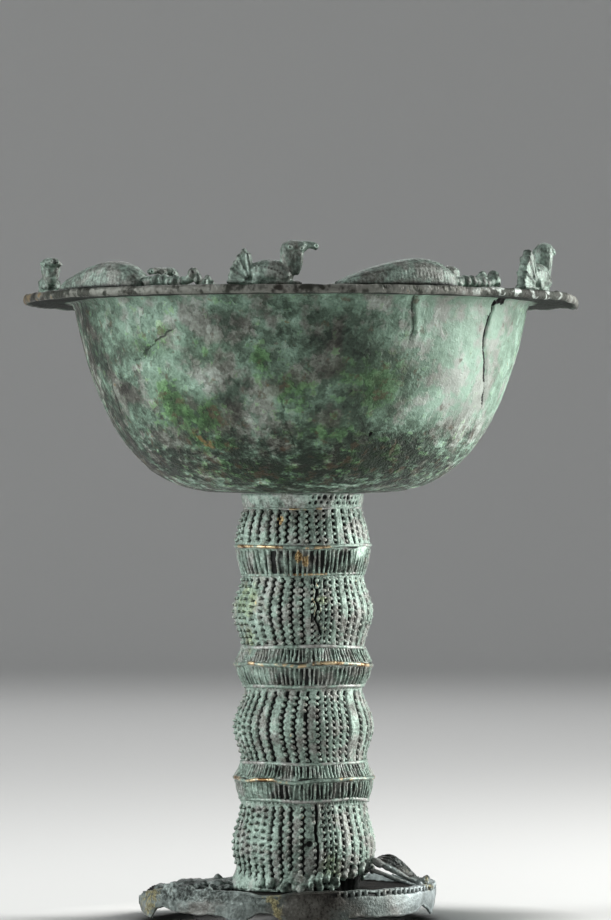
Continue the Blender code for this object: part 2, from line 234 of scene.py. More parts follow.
def skin(name, rings, closed):
    """A mesh over rings of as many points each: closed on itself, or with a fan of faces at each end."""
    rings = np.asarray(rings, float)
    rows, count = rings.shape[:2]
    number = np.arange(rows * count).reshape(rows, count)
    below = number if closed else number[:-1]
    above = np.roll(number, -1, 0) if closed else number[1:]
    quads = np.stack((below, np.roll(below, -1, 1), np.roll(above, -1, 1), above), -1).reshape(-1, 4)
    faces = quads.tolist()
    points = rings.reshape(-1, 3)
    if not closed:
        points = np.vstack((points, rings[0].mean(0), rings[-1].mean(0)))
        for row, centre in ((number[0], rows * count), (number[-1][::-1], rows * count + 1)):
            faces += [[int(row[(i + 1) % count]), int(row[i]), centre] for i in range(count)]
    return mesh_of(name, points, faces)


def new_object(name, data):
    thing = bpy.data.objects.new(name, data)
    bpy.context.scene.collection.objects.link(thing)
    return thing


def settled(thing):
    """The plain mesh that an object's modifiers make. The object itself goes."""
    graph = bpy.context.evaluated_depsgraph_get()
    mesh = bpy.data.meshes.new_from_object(thing.evaluated_get(graph))
    bpy.data.objects.remove(thing, do_unlink=True)
    return mesh


def add_piece(name, mesh, material):
    piece = new_object(name, mesh)
    mesh.materials.clear()
    mesh.materials.append(material)
    mesh.shade_smooth()
    return piece


def paint(mesh, name, values):
    """Stores a number for each point, for the material to read."""
    values = np.asarray(values, np.float32).ravel()
    missing = len(mesh.vertices) - len(values)
    if missing:
        values = np.concatenate((values, np.zeros(missing, np.float32)))
    mesh.attributes.new(name, "FLOAT", "POINT").data.foreach_set("value", values)


# Camera, lights and stage


def add_camera():
    camera = new_object("camera", bpy.data.cameras.new("camera"))
    camera.data.sensor_width = SENSOR
    camera.data.lens = SENSOR * FOCAL / PHOTO_HEIGHT
    camera.location = EYE
    camera.rotation_euler = (math.radians(90.0) + math.atan((HORIZON_ROW - MIDDLE_ROW) / FOCAL), 0.0, 0.0)
    bpy.context.scene.camera = camera


def add_light(name, angle, distance, height, width, tall, power, colour):
    """A soft panel that faces the cup from this angle round it."""
    aim = Vector((0.0, 0.0, 0.15))
    data = bpy.data.lights.new(name, "AREA")
    data.shape = "RECTANGLE"
    data.size, data.size_y = width, tall
    data.energy = power
    data.color = colour
    light = new_object(name, data)
    turn = math.radians(angle)
    light.location = (distance * math.sin(turn), -distance * math.cos(turn), height)
    light.rotation_euler = (light.location - aim).to_track_quat("Z", "Y").to_euler()
    light.visible_camera = False


def add_lights():
    add_light("right_panel", 100.0, 1.25, 0.50, 0.45, 1.0, 34.0, (1.0, 1.0, 0.98))
    add_light("left_panel", -76.0, 1.35, 0.52, 0.60, 1.0, 19.0, (0.98, 1.0, 1.0))
    add_light("front_fill", 5.0, 2.6, 0.6, 1.2, 1.2, 3.0, (1.0, 1.0, 1.0))
    add_light("back_panel", 180.0, 2.3, 1.7, 1.4, 0.8, 12.0, (1.0, 1.0, 1.0))
    world = bpy.data.worlds.new("studio")
    world.use_nodes = True
    world.node_tree.nodes["Background"].inputs["Color"].default_value = (0.86, 0.88, 0.9, 1.0)
    world.node_tree.nodes["Background"].inputs["Strength"].default_value = 0.42
    bpy.context.scene.world = world
    bpy.context.scene.view_settings.view_transform = "Standard"


def add_stage(material):
    """A round floor that runs up into a wall all round, so that no edge shows from any side."""
    flat, bend, wall = 3.6, 1.6, 4.5
    profile = [(r, 0.0) for r in (0.02, 0.12, 0.3, 0.6, 1.0, 1.5, 2.1, 2.8, flat)]
    for i in range(1, 17):
        turn = 0.5 * math.pi * i / 16
        profile.append((flat + bend * math.sin(turn), bend - bend * math.cos(turn)))
    profile.append((flat + bend, wall))
    angles = np.linspace(0.0, TAU, 96, endpoint=False)
    below = [round_axis(r, angles, z) for r, z in profile]
    behind = [round_axis(r + 0.05, angles, z - 0.05) for r, z in reversed(profile)]
    stage = add_piece("studio_floor", skin("studio_floor", below + behind, closed=True), material)
    stage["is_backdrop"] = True


# Bowl


def wall_curve(share):
    """Points on the outside of the bowl's wall, from the floor to the rim, and the directions out of it."""
    start = np.array((FLOOR_RADIUS, BOWL_BOTTOM))
    end = np.array((MOUTH_RADIUS, RIM_UNDERSIDE))
    soft = start + SOFT_CURVE
    steep = end - STEEP_CURVE
    t = np.asarray(share, float)[:, None]
    point = (1 - t) ** 3 * start + 3 * (1 - t) ** 2 * t * soft + 3 * (1 - t) * t**2 * steep + t**3 * end
    along = (1 - t) ** 2 * (soft - start) + 2 * (1 - t) * t * (steep - soft) + t**2 * (end - steep)
    out = np.stack((along[:, 1], -along[:, 0]), -1)
    return point, out / np.linalg.norm(out, axis=1, keepdims=True)


def even_shares(count):
    """Shares of the wall's curve that lie about as far apart as each other."""
    share = np.linspace(0.0, 1.0, 400)
    steps = np.linalg.norm(np.diff(wall_curve(share)[0], axis=0), axis=1)
    return evenly(share, steps, count)


WALL_TABLE = wall_curve(np.linspace(0.0, 1.0, 400))[0]


def bowl_radius(height):
    return np.interp(height, WALL_TABLE[:, 1], WALL_TABLE[:, 0])


def bowl_profile():
    """Radius, height and zone of each ring, from the underside's middle round the rim to the inside floor."""
    rows = [(r * FLOOR_RADIUS, BOWL_BOTTOM, "wall") for r in (0.15, 0.4, 0.65, 0.85)]
    outside = wall_curve(even_shares(WALL_RINGS))[0]
    rows += [(r, z, "wall") for r, z in outside if z < RIM_UNDERSIDE - FILLET]
    for i in range(4):
        turn = 0.5 * math.pi * i / 3
        r = MOUTH_RADIUS + FILLET - FILLET * math.cos(turn)
        rows.append((r, RIM_UNDERSIDE - FILLET + FILLET * math.sin(turn), "wall"))
    lip_start = RIM_RADIUS - RIM_LIP_WIDTH
    for r in np.linspace(MOUTH_RADIUS + 2 * FILLET, lip_start, 9):
        rows.append((r, RIM_UNDERSIDE, "rim"))
    half = 0.5 * RIM_THICKNESS + RIM_LIP
    middle = 0.5 * (RIM_UNDERSIDE + RIM_TOP)
    for i in range(9):
        turn = math.pi * (0.12 + 0.76 * i / 8)
        r = RIM_RADIUS - 1.5 * MM + 1.5 * MM * math.sin(turn)
        rows.append((r, middle - half * math.cos(turn), "rim"))
    for r in np.linspace(lip_start, MOUTH_RADIUS - BOWL_WALL + 1.5 * MM, 12):
        rows.append((r, RIM_TOP, "rim"))
    inner_mouth = MOUTH_RADIUS - BOWL_WALL
    rows.append((inner_mouth + 0.5 * MM, RIM_TOP - 0.2 * MM, "rim"))
    rows.append((inner_mouth, RIM_TOP - 1.0 * MM, "inside"))
    point, out = wall_curve(even_shares(34)[::-1])
    inner = point - BOWL_WALL * out
    rows += [(r, z, "inside") for r, z in inner if z < RIM_TOP - 2.0 * MM]
    rows += [(r * FLOOR_RADIUS, BOWL_BOTTOM + BOWL_WALL, "inside") for r in (0.85, 0.6, 0.35, 0.12)]
    return rows


# Cracks that the photograph shows in the wall, as pixels along each
SPLIT = (
    (497, 297), (494, 303), (493, 310), (489, 318), (487, 326), (485, 334), (484, 341), (484, 350),
    (485, 363), (484.5, 376), (484, 390), (483, 403),
)
SEAM = ((413, 296), (412, 306), (412, 318), (413, 330), (411, 338))
LOWER_CRACK = ((281, 395), (284, 408), (284, 420), (290, 432), (294, 445))
THIN_CRACK = ((133, 361), (142, 357), (148, 347), (158, 341), (166, 334), (173, 329))
WORN_LINE = ((100, 336), (106, 357), (110, 376), (115, 397), (121, 415))
CRACKS = {
    "split": SPLIT,
    "seam": SEAM,
    "lower_crack": LOWER_CRACK,
    "thin_crack": THIN_CRACK,
    "worn_line": WORN_LINE,
}


def across_crack(pixels, angle, height, radius_at=bowl_radius, axis_x=0.0):
    """Signed distance to a crack along a turned form, and how far beyond its ends a point is."""
    places = [seen_at(column, row, radius_at, axis_x) for column, row in pixels]
    places.sort(key=lambda place: place[1])
    angles = np.array([place[0] for place in places])
    heights = np.array([place[1] for place in places])
    path = np.interp(height, heights, angles)
    across = turned(angle, path) * radius_at(height)
    slope = np.gradient(angles, heights) * radius_at(heights)
    lean = 1.0 / np.sqrt(1.0 + np.interp(height, heights, slope) ** 2)
    beyond = np.maximum(heights[0] - height, 0.0) + np.maximum(height - heights[-1], 0.0)
    return across * lean, beyond


# Broad patches of the wall's patina, some dark ones painted shade and some pale ones painted highlights:
# pixel at the middle, half width and height in pixels, and strength
PATCHES = {
    "green": (
        (172, 402, 14, 21, 1.0), (207, 418, 16, 15, 1.0), (198, 440, 14, 9, 0.8),
        (261, 358, 7, 10, 0.9), (291, 389, 20, 14, 0.65), (378, 385, 24, 24, 0.9),
        (345, 372, 12, 14, 0.5), (150, 346, 22, 9, 0.45), (165, 330, 8, 6, 0.6),
        (330, 432, 34, 16, 0.5), (186, 414, 12, 12, 0.9), (222, 442, 13, 8, 0.7),
        (240, 470, 60, 11, 0.45), (372, 458, 46, 16, 0.55), (205, 352, 20, 12, 0.35),
    ),
    # Dark: partly dark patina, and partly painted shade on the middle of the front, the lower wall and the
    # left edge.
    "dark": (
        (330, 345, 40, 44, 0.75), (345, 398, 30, 24, 0.45), (300, 462, 95, 22, 0.95),
        (395, 455, 40, 22, 0.65), (234, 400, 11, 44, 0.75), (255, 458, 26, 8, 0.9),
        (212, 466, 24, 7, 0.8), (424, 459, 5, 5, 1.3), (449, 443, 5, 5, 1.3), (472, 433, 4, 4, 1.2),
        (287, 310, 6, 16, 0.9), (281, 336, 5, 14, 0.7), (409, 365, 4, 26, 0.45), (412, 320, 4, 24, 0.6),
        (180, 462, 46, 18, 0.5), (125, 391, 9, 11, 0.9), (98, 352, 9, 34, 0.9), (84, 322, 6, 20, 0.7),
        (118, 420, 12, 20, 0.8), (236, 315, 20, 8, 0.35), (120, 320, 12, 12, 0.3),
    ),
    # Pale: partly pale patina, and partly painted highlights on the seam's raised fold and along the lower
    # edge.
    "pale": (
        (140, 314, 60, 16, 0.6), (420, 318, 4, 24, 1.0), (299, 322, 6, 22, 0.4),
        (205, 322, 26, 14, 0.5), (365, 304, 50, 7, 0.8), (470, 345, 40, 50, 0.95),
        (500, 400, 24, 50, 0.8), (263, 418, 17, 28, 0.75), (440, 400, 24, 34, 0.55),
        (165, 375, 50, 16, 0.7), (330, 469, 16, 6, 0.9), (352, 483, 28, 6, 0.9), (198, 481, 38, 5, 0.9),
        (222, 372, 24, 14, 0.4), (440, 446, 26, 18, 0.7),
    ),
    "warm": (
        (447, 384, 13, 14, 1.0), (215, 330, 46, 26, 0.5), (225, 385, 24, 28, 0.8),
        (264, 418, 16, 26, 0.9), (476, 388, 14, 40, 0.7), (446, 322, 18, 20, 0.5),
        (480, 430, 14, 14, 0.7), (330, 413, 10, 9, 0.8), (160, 440, 30, 26, 0.35),
        (125, 391, 10, 12, 0.8), (300, 350, 30, 30, 0.35),
    ),
    "rust": (
        (193, 432, 6, 4, 1.0), (200, 438, 6, 4, 1.1), (206, 443, 5, 3, 1.0), (269, 383, 8, 4, 0.5),
        (330, 411, 7, 6, 0.7), (209, 447, 7, 3, 0.7),
    ),
}
BACK_PATCHES = 34
# Places broken through, or nearly: pixel and size in mm
HOLES = ((494.5, 304, 1.0), (499.0, 300.5, 1.5), (502.5, 302.5, 1.3), (371, 435, 0.8))
BOWL_HOLE_DEPTH = 1.7 * MM
STREAKS_END = (112, 400)  # pixel at the right edge of the streaked patina


def patch_field(kind, angle, height):
    """How strongly a patch of this kind covers each place of the wall."""
    cover = np.zeros_like(angle)
    radius = bowl_radius(height)
    places = []
    for column, row, width, tall, strength in PATCHES[kind]:
        middle, level = seen_at(column, row, bowl_radius)
        facing = max(0.35, math.cos(middle))
        places.append((middle, level, width * PIXEL / facing, tall * PIXEL, strength))
    draws = np.random.default_rng(sum(map(ord, kind)))
    share = len(PATCHES[kind]) / 30.0
    for _ in range(round(BACK_PATCHES * share)):
        middle = math.pi + draws.uniform(-1.55, 1.55)
        level = BOWL_BOTTOM + draws.uniform(0.01, 0.074)
        size = draws.uniform(0.6, 1.4)
        width, tall, strength = PATCHES[kind][draws.integers(len(PATCHES[kind]))][2:]
        strength *= 0.6 if kind == "green" else 1.0
        places.append((middle, level, size * width * PIXEL, size * tall * PIXEL, strength))
    for middle, level, width, tall, strength in places:
        apart = (turned(angle, middle) * radius / width) ** 2 + ((height - level) / tall) ** 2
        cover = np.maximum(cover, strength * np.exp(-0.8 * apart))
    return cover


def crowded_angles(count):
    """Angles round the bowl, closer together where the cracks are."""
    angle = np.linspace(-math.pi, math.pi, 2000)
    weight = np.ones_like(angle)
    for pixels in CRACKS.values():
        column, row = pixels[len(pixels) // 2]
        weight += 2.0 * bump(turned(angle, seen_at(column, row, bowl_radius)[0]), math.radians(3.0))
    return evenly(angle, weight[1:], count + 1)[:-1]


def fold_drop(radius, angle):
    """How far the bent lip at the right end of the rim has come down."""
    reach = np.clip((radius - RIM_RADIUS + FOLD_REACH) / FOLD_REACH, 0.0, 1.0)
    return FOLD_DROP * reach**1.5 * swell(angle, FOLD_ANGLE, FOLD_HALF_WIDTH)


class BowlGrid:
    """The bowl's points before its relief: the rings of its profile by angles round it."""

    def __init__(self):
        rows = bowl_profile()
        radius = np.array([row[0] for row in rows])[:, None]
        height = np.array([row[1] for row in rows])[:, None]
        self.on_wall = np.array([row[2] == "wall" for row in rows])[:, None]
        self.on_rim = np.array([row[2] == "rim" for row in rows])[:, None]
        along = np.stack((np.gradient(radius[:, 0]), np.gradient(height[:, 0])), -1)
        out = np.stack((along[:, 1], -along[:, 0]), -1)
        self.out = out / np.linalg.norm(out, axis=1, keepdims=True)
        angle = crowded_angles(BOWL_COLUMNS)[None, :]
        self.radius, self.height, self.angle = np.broadcast_arrays(radius, height, angle)
        surface = round_axis(self.radius, self.angle, self.height)
        self.dents = lumps(surface, 38.0, 2)
        self.rough = lumps(surface, 160.0, 4, 7.0)
        self.fine = lumps(surface, 420.0, 3, 3.0)
        cells = [noise.voronoi(Vector(p))[0][0] for p in surface.reshape(-1, 3) * 240.0]
        self.pits = np.array(cells).reshape(self.radius.shape)
        low_down = 0.55 * smooth(0.035, 0.0, self.height - BOWL_BOTTOM)
        self.pitted = np.maximum(patch_field("dark", self.angle, self.height), low_down)


def bowl_holes(grid):
    """Distance to the nearest broken-through spot, over that spot's size."""
    nearest = np.full_like(grid.angle, 1.0)
    for column, row, size in HOLES:
        angle, height = seen_at(column, row, bowl_radius)
        apart = np.hypot(turned(grid.angle, angle) * grid.radius, grid.height - height)
        nearest = np.minimum(nearest, apart / size)
    return nearest


def bowl_relief(grid, hole):
    """How far each point is pushed out, and its distance to each crack."""
    push = 0.30 * MM * grid.dents + 0.16 * MM * grid.rough + 0.09 * MM * grid.fine
    pit = smooth(0.42, 0.12, grid.pits)
    push -= grid.on_wall * grid.pitted * 0.5 * MM * pit * smooth(-0.1, 0.3, grid.rough)
    cracks = {}
    for name, pixels in CRACKS.items():
        across, beyond = across_crack(pixels, grid.angle, grid.height)
        across = across + 0.8 * MM * grid.rough + 0.35 * MM * grid.fine
        apart = np.hypot(across, beyond)
        cracks[name] = np.where(grid.on_wall, apart * np.where(across < 0, -1, 1), 0.05)
        near = bump(apart, 0.9 * MM)
        if name == "seam":
            ridge = bump(np.hypot(across - 1.6 * MM, beyond), 1.7 * MM)
            push += grid.on_wall * (0.28 * MM * ridge - 0.3 * MM * near)
        else:
            depth = 0.8 if name == "split" else 0.22
            push -= grid.on_wall * depth * MM * near
    push -= grid.on_wall * BOWL_HOLE_DEPTH * bump(hole, 1.1 * MM)
    return push, cracks


def bowl_points(grid, push):
    """The bowl's points with its relief, the waves of its rim and the bent lip."""
    wave = round_noise(grid.angle[0], 9.0)
    rim_share = np.clip((grid.radius - MOUTH_RADIUS) / (RIM_RADIUS - MOUTH_RADIUS), 0.0, 1.0)
    calm = np.where(grid.on_rim, 1.0 - 0.55 * rim_share, 1.0)
    radius = grid.radius + grid.out[:, :1] * push * calm
    height = grid.height + grid.out[:, 1:] * push * calm
    knobs = sector(grid.angle, 68.0, 0.5) * smooth(RIM_RADIUS - 4.0 * MM, RIM_RADIUS - 1.0 * MM, grid.radius)
    waved = 0.35 * MM * wave[None, :] * rim_share
    height = height - fold_drop(grid.radius, grid.angle) + waved + 0.7 * MM * knobs * grid.rough
    radius = np.minimum(radius + 0.25 * MM * rim_share * (wave[None, :] - 0.6), RIM_RADIUS)
    return round_axis(radius, grid.angle, height)


def paint_wall(mesh, grid, cracks, hole):
    """Stores where the wall is cracked, stained, pitted, streaked, calm or broken through, and how low it is;
    the patches and the low wall also carry painted shade and highlights.
    """
    for name, values in cracks.items():
        paint(mesh, name, values)
    for kind in PATCHES:
        paint(mesh, kind, patch_field(kind, grid.angle, grid.height))
    rise = grid.height - BOWL_BOTTOM
    # The lower wall, which the patina paints darker as shade and roughens.
    paint(mesh, "low", grid.on_wall * smooth(0.032, 0.004, rise))
    pit = grid.on_wall * grid.pitted * smooth(0.40, 0.12, grid.pits)
    paint(mesh, "pit", pit * smooth(-0.1, 0.3, grid.rough))
    edge = seen_at(*STREAKS_END, bowl_radius)[0]
    from_front = turned(grid.angle, 0.0)
    streaked = smooth(edge + 0.06, edge - 0.10, from_front) * smooth(edge - 1.3, edge - 0.7, from_front)
    paint(mesh, "streaked", grid.on_wall * streaked)
    bare = sector(grid.angle, 51.0, 0.44) * smooth(0.020, 0.036, rise)
    paint(mesh, "calm", grid.on_wall * bare)
    paint(mesh, "hole", grid.on_wall * bump(hole, 1.5 * MM))


def paint_rim(mesh, grid):
    """Stores where the rim is bright (silvery flecks, partly painted highlights), golden, in painted shade,
    or its lip.
    """
    # Silvery flecks on the lip: partly worn metal, partly painted highlights.
    silver = sector(grid.angle, 55.0, 0.40) + 0.42 * sector(grid.angle, -4.0, 0.5)
    silver = silver + 0.35 * sector(grid.angle, 215.0, 0.8)
    paint(mesh, "silver", grid.on_rim * silver)
    tip = sector(grid.angle, -84.0, 0.42) + 0.35 * sector(grid.angle, 12.0, 0.3)
    outermost = smooth(RIM_RADIUS - 3.0 * MM, RIM_RADIUS - 1.0 * MM, grid.radius)
    paint(mesh, "gilt", grid.on_rim * outermost * tip)
    below = (grid.height < RIM_UNDERSIDE + 0.5 * MM) & (grid.radius < RIM_RADIUS - 1.4 * MM)
    inmost = smooth(MOUTH_RADIUS + 0.2 * MM, MOUTH_RADIUS + 2.4 * MM, grid.radius + 1.2 * MM * grid.rough)
    paint(mesh, "shade", (grid.on_rim & below) * inmost)
    lip = smooth(RIM_RADIUS - 2.6 * MM, RIM_RADIUS - 1.2 * MM, grid.radius)
    paint(mesh, "lip", grid.on_rim * lip)


def make_bowl(material):
    grid = BowlGrid()
    hole = bowl_holes(grid)
    push, cracks = bowl_relief(grid, hole)
    mesh = skin("bowl_cast", bowl_points(grid, push), closed=False)
    paint_wall(mesh, grid, cracks, hole)
    paint_rim(mesh, grid)
    return add_piece("bowl_cast", mesh, material)


# Nodes


class Channel:
    """A node's output that can stand in a sum or a product."""

    def __init__(self, owner, socket):
        self.owner = owner
        self.socket = socket

    def join(self, operation, first, second):
        return self.owner.add("ShaderNodeMath", {"operation": operation}, {0: first, 1: second})

    def __add__(self, other):
        return self.join("ADD", self, other)

    def __radd__(self, other):
        return self.join("ADD", other, self)

    def __sub__(self, other):
        return self.join("SUBTRACT", self, other)

    def __rsub__(self, other):
        return self.join("SUBTRACT", other, self)

    def __mul__(self, other):
        return self.join("MULTIPLY", self, other)

    def __rmul__(self, other):
        return self.join("MULTIPLY", other, self)


class Nodes:
    """A node tree whose nodes are added one by one."""

    def __init__(self, tree):
        self.nodes = tree.nodes
        self.links = tree.links

    def add(self, kind, settings=None, sockets=None, output=0):
        """Adds a node of any type: its settings first, then the values or links of its sockets."""
        node = self.nodes.new(kind)
        for key, value in (settings or {}).items():
            if key == "stops":
                ramp = node.color_ramp
                while len(ramp.elements) < len(value):
                    ramp.elements.new(1.0)
                for element, (position, colour) in zip(ramp.elements, value):
                    element.position = position
                    element.color = (*colour, 1.0)
            else:
                setattr(node, key, value)
        self.plug(node, sockets or {})
        return Channel(self, node.outputs[output])

    def plug(self, node, sockets):
        """Gives a node's sockets their values or links."""
        by_identifier = {socket.identifier: socket for socket in node.inputs}
        for key, value in sockets.items():
            socket = by_identifier.get(key) or node.inputs[key]
            if isinstance(value, Channel):
                self.links.new(value.socket, socket)
            elif isinstance(value, tuple) and len(value) == 3 and socket.type == "RGBA":
                socket.default_value = (*value, 1.0)
            else:
                socket.default_value = value


# Geometry trees: beads set on points, and bars along lines


class Tree(Nodes):
    """A geometry tree with named inputs."""

    def __init__(self, name, inputs):
        self.group = bpy.data.node_groups.new(name, "GeometryNodeTree")
        super().__init__(self.group)
        self.group.interface.new_socket("Geometry", in_out="OUTPUT", socket_type="NodeSocketGeometry")
        self.group.interface.new_socket("Geometry", in_out="INPUT", socket_type="NodeSocketGeometry")
        for label, kind in inputs.items():
            self.group.interface.new_socket(label, in_out="INPUT", socket_type=kind)
        self.entry = self.nodes.new("NodeGroupInput")

    def given(self, label):
        return Channel(self, self.entry.outputs[label])

    def stored(self, name, kind):
        return self.add("GeometryNodeInputNamedAttribute", {"data_type": kind}, {"Name": name})

    def close(self, shape):
        whole = self.add("GeometryNodeRealizeInstances", None, {"Geometry": shape})
        soft = self.add("GeometryNodeSetShadeSmooth", None, {"Geometry": whole})
        dressed = {"Geometry": soft, "Material": self.given("Material")}
        final = self.add("GeometryNodeSetMaterial", None, dressed)
        self.links.new(final.socket, self.nodes.new("NodeGroupOutput").inputs[0])


def bead_tree():
    """A bead on each point, sized and turned as the point says. Each of its points stores how far it faces up
    and to the left, for a painted highlight and painted shade.
    """
    inputs = {
        "Detail": "NodeSocketInt",
        "Unevenness": "NodeSocketFloat",
        "Seed": "NodeSocketInt",
        "Material": "NodeSocketMaterial",
    }
    t = Tree("beads_on_points", inputs)
    ball = t.add("GeometryNodeMeshIcoSphere", None, {"Radius": 1.0, "Subdivisions": t.given("Detail")})
    # How far each point of a bead faces up and to the left, towards the light, stored as rise: the bead
    # material paints a highlight on top and shade underneath from it.
    facing = t.add("ShaderNodeVectorMath", {"operation": "DOT_PRODUCT"},
                   {"Vector": t.add("GeometryNodeInputPosition"), "Vector_001": (-0.60, -0.25, 0.76)}, 1)
    named = {"Geometry": ball, "Name": "rise", "Value": facing}
    bead = t.add("GeometryNodeStoreNamedAttribute", {"data_type": "FLOAT", "domain": "POINT"}, named)
    limits = {"Min_001": 1.0 - t.given("Unevenness"), "Max_001": 1.0 + t.given("Unevenness")}
    chance = t.add("FunctionNodeRandomValue", {"data_type": "FLOAT"}, limits | {"Seed": t.given("Seed")}, 1)
    own_size = t.stored("size", "FLOAT_VECTOR")
    size = t.add("ShaderNodeVectorMath", {"operation": "SCALE"}, {"Vector": own_size, "Scale": chance})
    placed = {"Points": t.given("Geometry"), "Instance": bead, "Scale": size}
    placed["Rotation"] = t.stored("turn", "FLOAT_VECTOR")
    t.close(t.add("GeometryNodeInstanceOnPoints", None, placed))
    return t


def bar_tree():
    """A round bar along each line, with the radius that its points say."""
    t = Tree("bars_on_lines", {"Sides": "NodeSocketInt", "Material": "NodeSocketMaterial"})
    line = t.add("GeometryNodeMeshToCurve", None, {"Mesh": t.given("Geometry")})
    ring = t.add("GeometryNodeCurvePrimitiveCircle", None, {"Resolution": t.given("Sides"), "Radius": 1.0})
    bar = {"Curve": line, "Profile Curve": ring, "Scale": t.stored("thick", "FLOAT"), "Fill Caps": True}
    t.close(t.add("GeometryNodeCurveToMesh", None, bar))
    return t


def grown(name, seed_mesh, tree, values):
    """The plain piece that a tree makes of a seed mesh."""
    seed = new_object(name + "_seed", seed_mesh)
    growth = seed.modifiers.new("Growth", "NODES")
    growth.node_group = tree.group
    for item in tree.group.interface.items_tree:
        if item.in_out == "INPUT" and item.name in values:
            growth[item.identifier] = values[item.name]
    mesh = settled(seed)
    mesh.name = name
    return add_piece(name, mesh, values["Material"])


def beads(name, points, turns, sizes, material, seed, detail=2, unevenness=0.14):
    mesh = bpy.data.meshes.new(name + "_points")
    mesh.from_pydata(np.asarray(points).tolist(), [], [])
    for label, values in (("turn", turns), ("size", sizes)):
        stored = mesh.attributes.new(label, "FLOAT_VECTOR", "POINT")
        stored.data.foreach_set("vector", np.asarray(values).ravel())
    values = {"Detail": detail, "Unevenness": unevenness, "Seed": seed, "Material": material}
    return grown(name, mesh, BEADS, values)


def bars(name, lines, material, sides=6):
    """Bars along lines, each given by its points, its radius at each and whether it closes on itself."""
    points, edges, thick = [], [], []
    for line, radius, closed in lines:
        start = len(points)
        points += [tuple(point) for point in line]
        thick += list(np.broadcast_to(radius, len(line)))
        edges += [(start + i, start + i + 1) for i in range(len(line) - 1)]
        if closed:
            edges.append((len(points) - 1, start))
    mesh = bpy.data.meshes.new(name + "_lines")
    mesh.from_pydata(points, edges, [])
    paint(mesh, "thick", thick)
    return grown(name, mesh, BARS, {"Sides": sides, "Material": material})


def places_of(mesh):
    return gathered(mesh.vertices, "co", 3).astype(float)


def paint_hollows(mesh, full=0.25, rounds=2, added=0.0):
    """Stores how hollow the surface is at each point: -1 on a ridge, 1 in a pit. More can be added to it. The
    materials paint shade in the hollows and some highlight on the ridges from it.
    """
    points = places_of(mesh)
    normals = gathered(mesh.vertices, "normal", 3)
    first, second = gathered(mesh.edges, "vertices", 2, np.int32).T
    way = points[second] - points[first]
    way /= np.maximum(np.linalg.norm(way, axis=1, keepdims=True), 1e-9)
    count = len(points)
    rise = np.bincount(first, np.einsum("ij,ij->i", way, normals[first]), count)
    rise -= np.bincount(second, np.einsum("ij,ij->i", way, normals[second]), count)
    near = np.maximum(np.bincount(first, minlength=count) + np.bincount(second, minlength=count), 1)
    hollow = rise / near
    for _ in range(rounds):
        spread = np.bincount(first, hollow[second], count) + np.bincount(second, hollow[first], count)
        hollow = 0.5 * hollow + 0.5 * spread / near
    paint(mesh, "hollow", np.clip(hollow / full + added, -1.0, 1.0))


# Stem


STEM_ROWS = 40
ROW_COLUMNS = 10
# Rows of each beaded section from the bottom up: bead pitch, tilt of the beads, how far the rows bow
# sideways in degrees, and the pixel columns where the front rows stand
BEADED = (
    (2.75 * MM, 0.2, 0.0, (242, 247, 254, 261, 269, 280, 290, 302, 316, 325, 331, 336, 344, 353, 361, 367)),
    (2.45 * MM, 0.75, -4.0, (243, 249, 257, 267, 281, 293, 305, 318, 327, 334, 341, 348, 362, 368)),
    (2.5 * MM, 0.4, -1.5, (
        239, 243, 250, 259, 269, 279, 290, 301, 313, 319, 326, 332, 340, 350, 356, 363, 369,
    )),
    (2.6 * MM, 0.15, -1.0, (243, 250, 258, 268, 277, 286, 296, 307, 317, 324, 334, 345, 352, 357, 362, 366)),
)
FLARE_PITCH = 1.45 * MM  # of the ribs above each thread
TAPER_PITCH = 1.9 * MM  # and below it
STEM_SPLITS = (
    ((315, 578), (314, 584), (317, 591), (315.5, 599), (318.5, 607), (317, 613), (314.5, 619), (319, 627),
     (321, 634)),
    ((316, 800), (317, 815), (316, 832), (318, 850), (317, 868)),
)
STEM_HOLES = ((308.5, 843.8, 1.1), (353.5, 557.5, 0.85))  # pixel and size in mm
CHIP = (361.0, 551.0)


def stem_axis(height):
    return STEM_SHIFT + STEM_LEAN * (STEM_TOP - height) / (STEM_TOP - STEM_BOTTOM)


def stem_sections():
    """Of each section: kind, foot height, height, radii, swelling, and its number among its kind."""
    base = STEM_BOTTOM
    numbers = {}
    for kind, tall, low, top, swelling in SECTIONS:
        number = numbers.get(kind, 0)
        numbers[kind] = number + 1
        yield kind, base, tall * MM, low * MM, top * MM, swelling * MM, number
        base += tall * MM


def section_radius(section, share):
    _, _, _, low, top, swelling, _ = section
    return low + share * (top - low) + swelling * np.sin(math.pi * np.clip(share, 0.0, 1.0)) ** 2


STEM = list(stem_sections())
STEM_TABLE = np.array([
    (section[1] + share * section[2], section_radius(section, share))
    for section in STEM
    for share in np.linspace(0.02, 0.98, 9)
])


def stem_radius(height):
    return np.interp(height, STEM_TABLE[:, 0], STEM_TABLE[:, 1])


def on_stem(column, row, level=0.1):
    """Angle and height of the place on the stem at a pixel; the level is about the height of it."""
    return seen_at(column, row, stem_radius, stem_axis(level))


def spotted(angle, height, radius, spots):
    """1 at each of these spots of the stem, given by pixel and width in mm, and fading out round it."""
    cover = np.zeros_like(angle)
    for column, row, width in spots:
        middle, level = on_stem(column, row)
        apart = np.hypot(turned(angle, middle) * radius, height - level)
        cover = np.maximum(cover, bump(apart, width * MM))
    return cover


CHIP_ANGLE, CHIP_HEIGHT = on_stem(*CHIP, 0.15)


def row_places(number):
    """Angle of each row of a beaded section at half its height: as seen in front, and even behind."""
    section = next(s for s in STEM if s[0] == "beaded" and s[-1] == number)
    level = section[1] + 0.5 * section[2]
    row = HORIZON_ROW - (level - EYE.z) / PIXEL
    seen = [on_stem(column, row, level)[0] for column in BEADED[number][3]]
    behind = np.linspace(seen[-1], seen[0] + TAU, STEM_ROWS - len(seen) + 2)[1:-1]
    return np.concatenate((seen, behind))


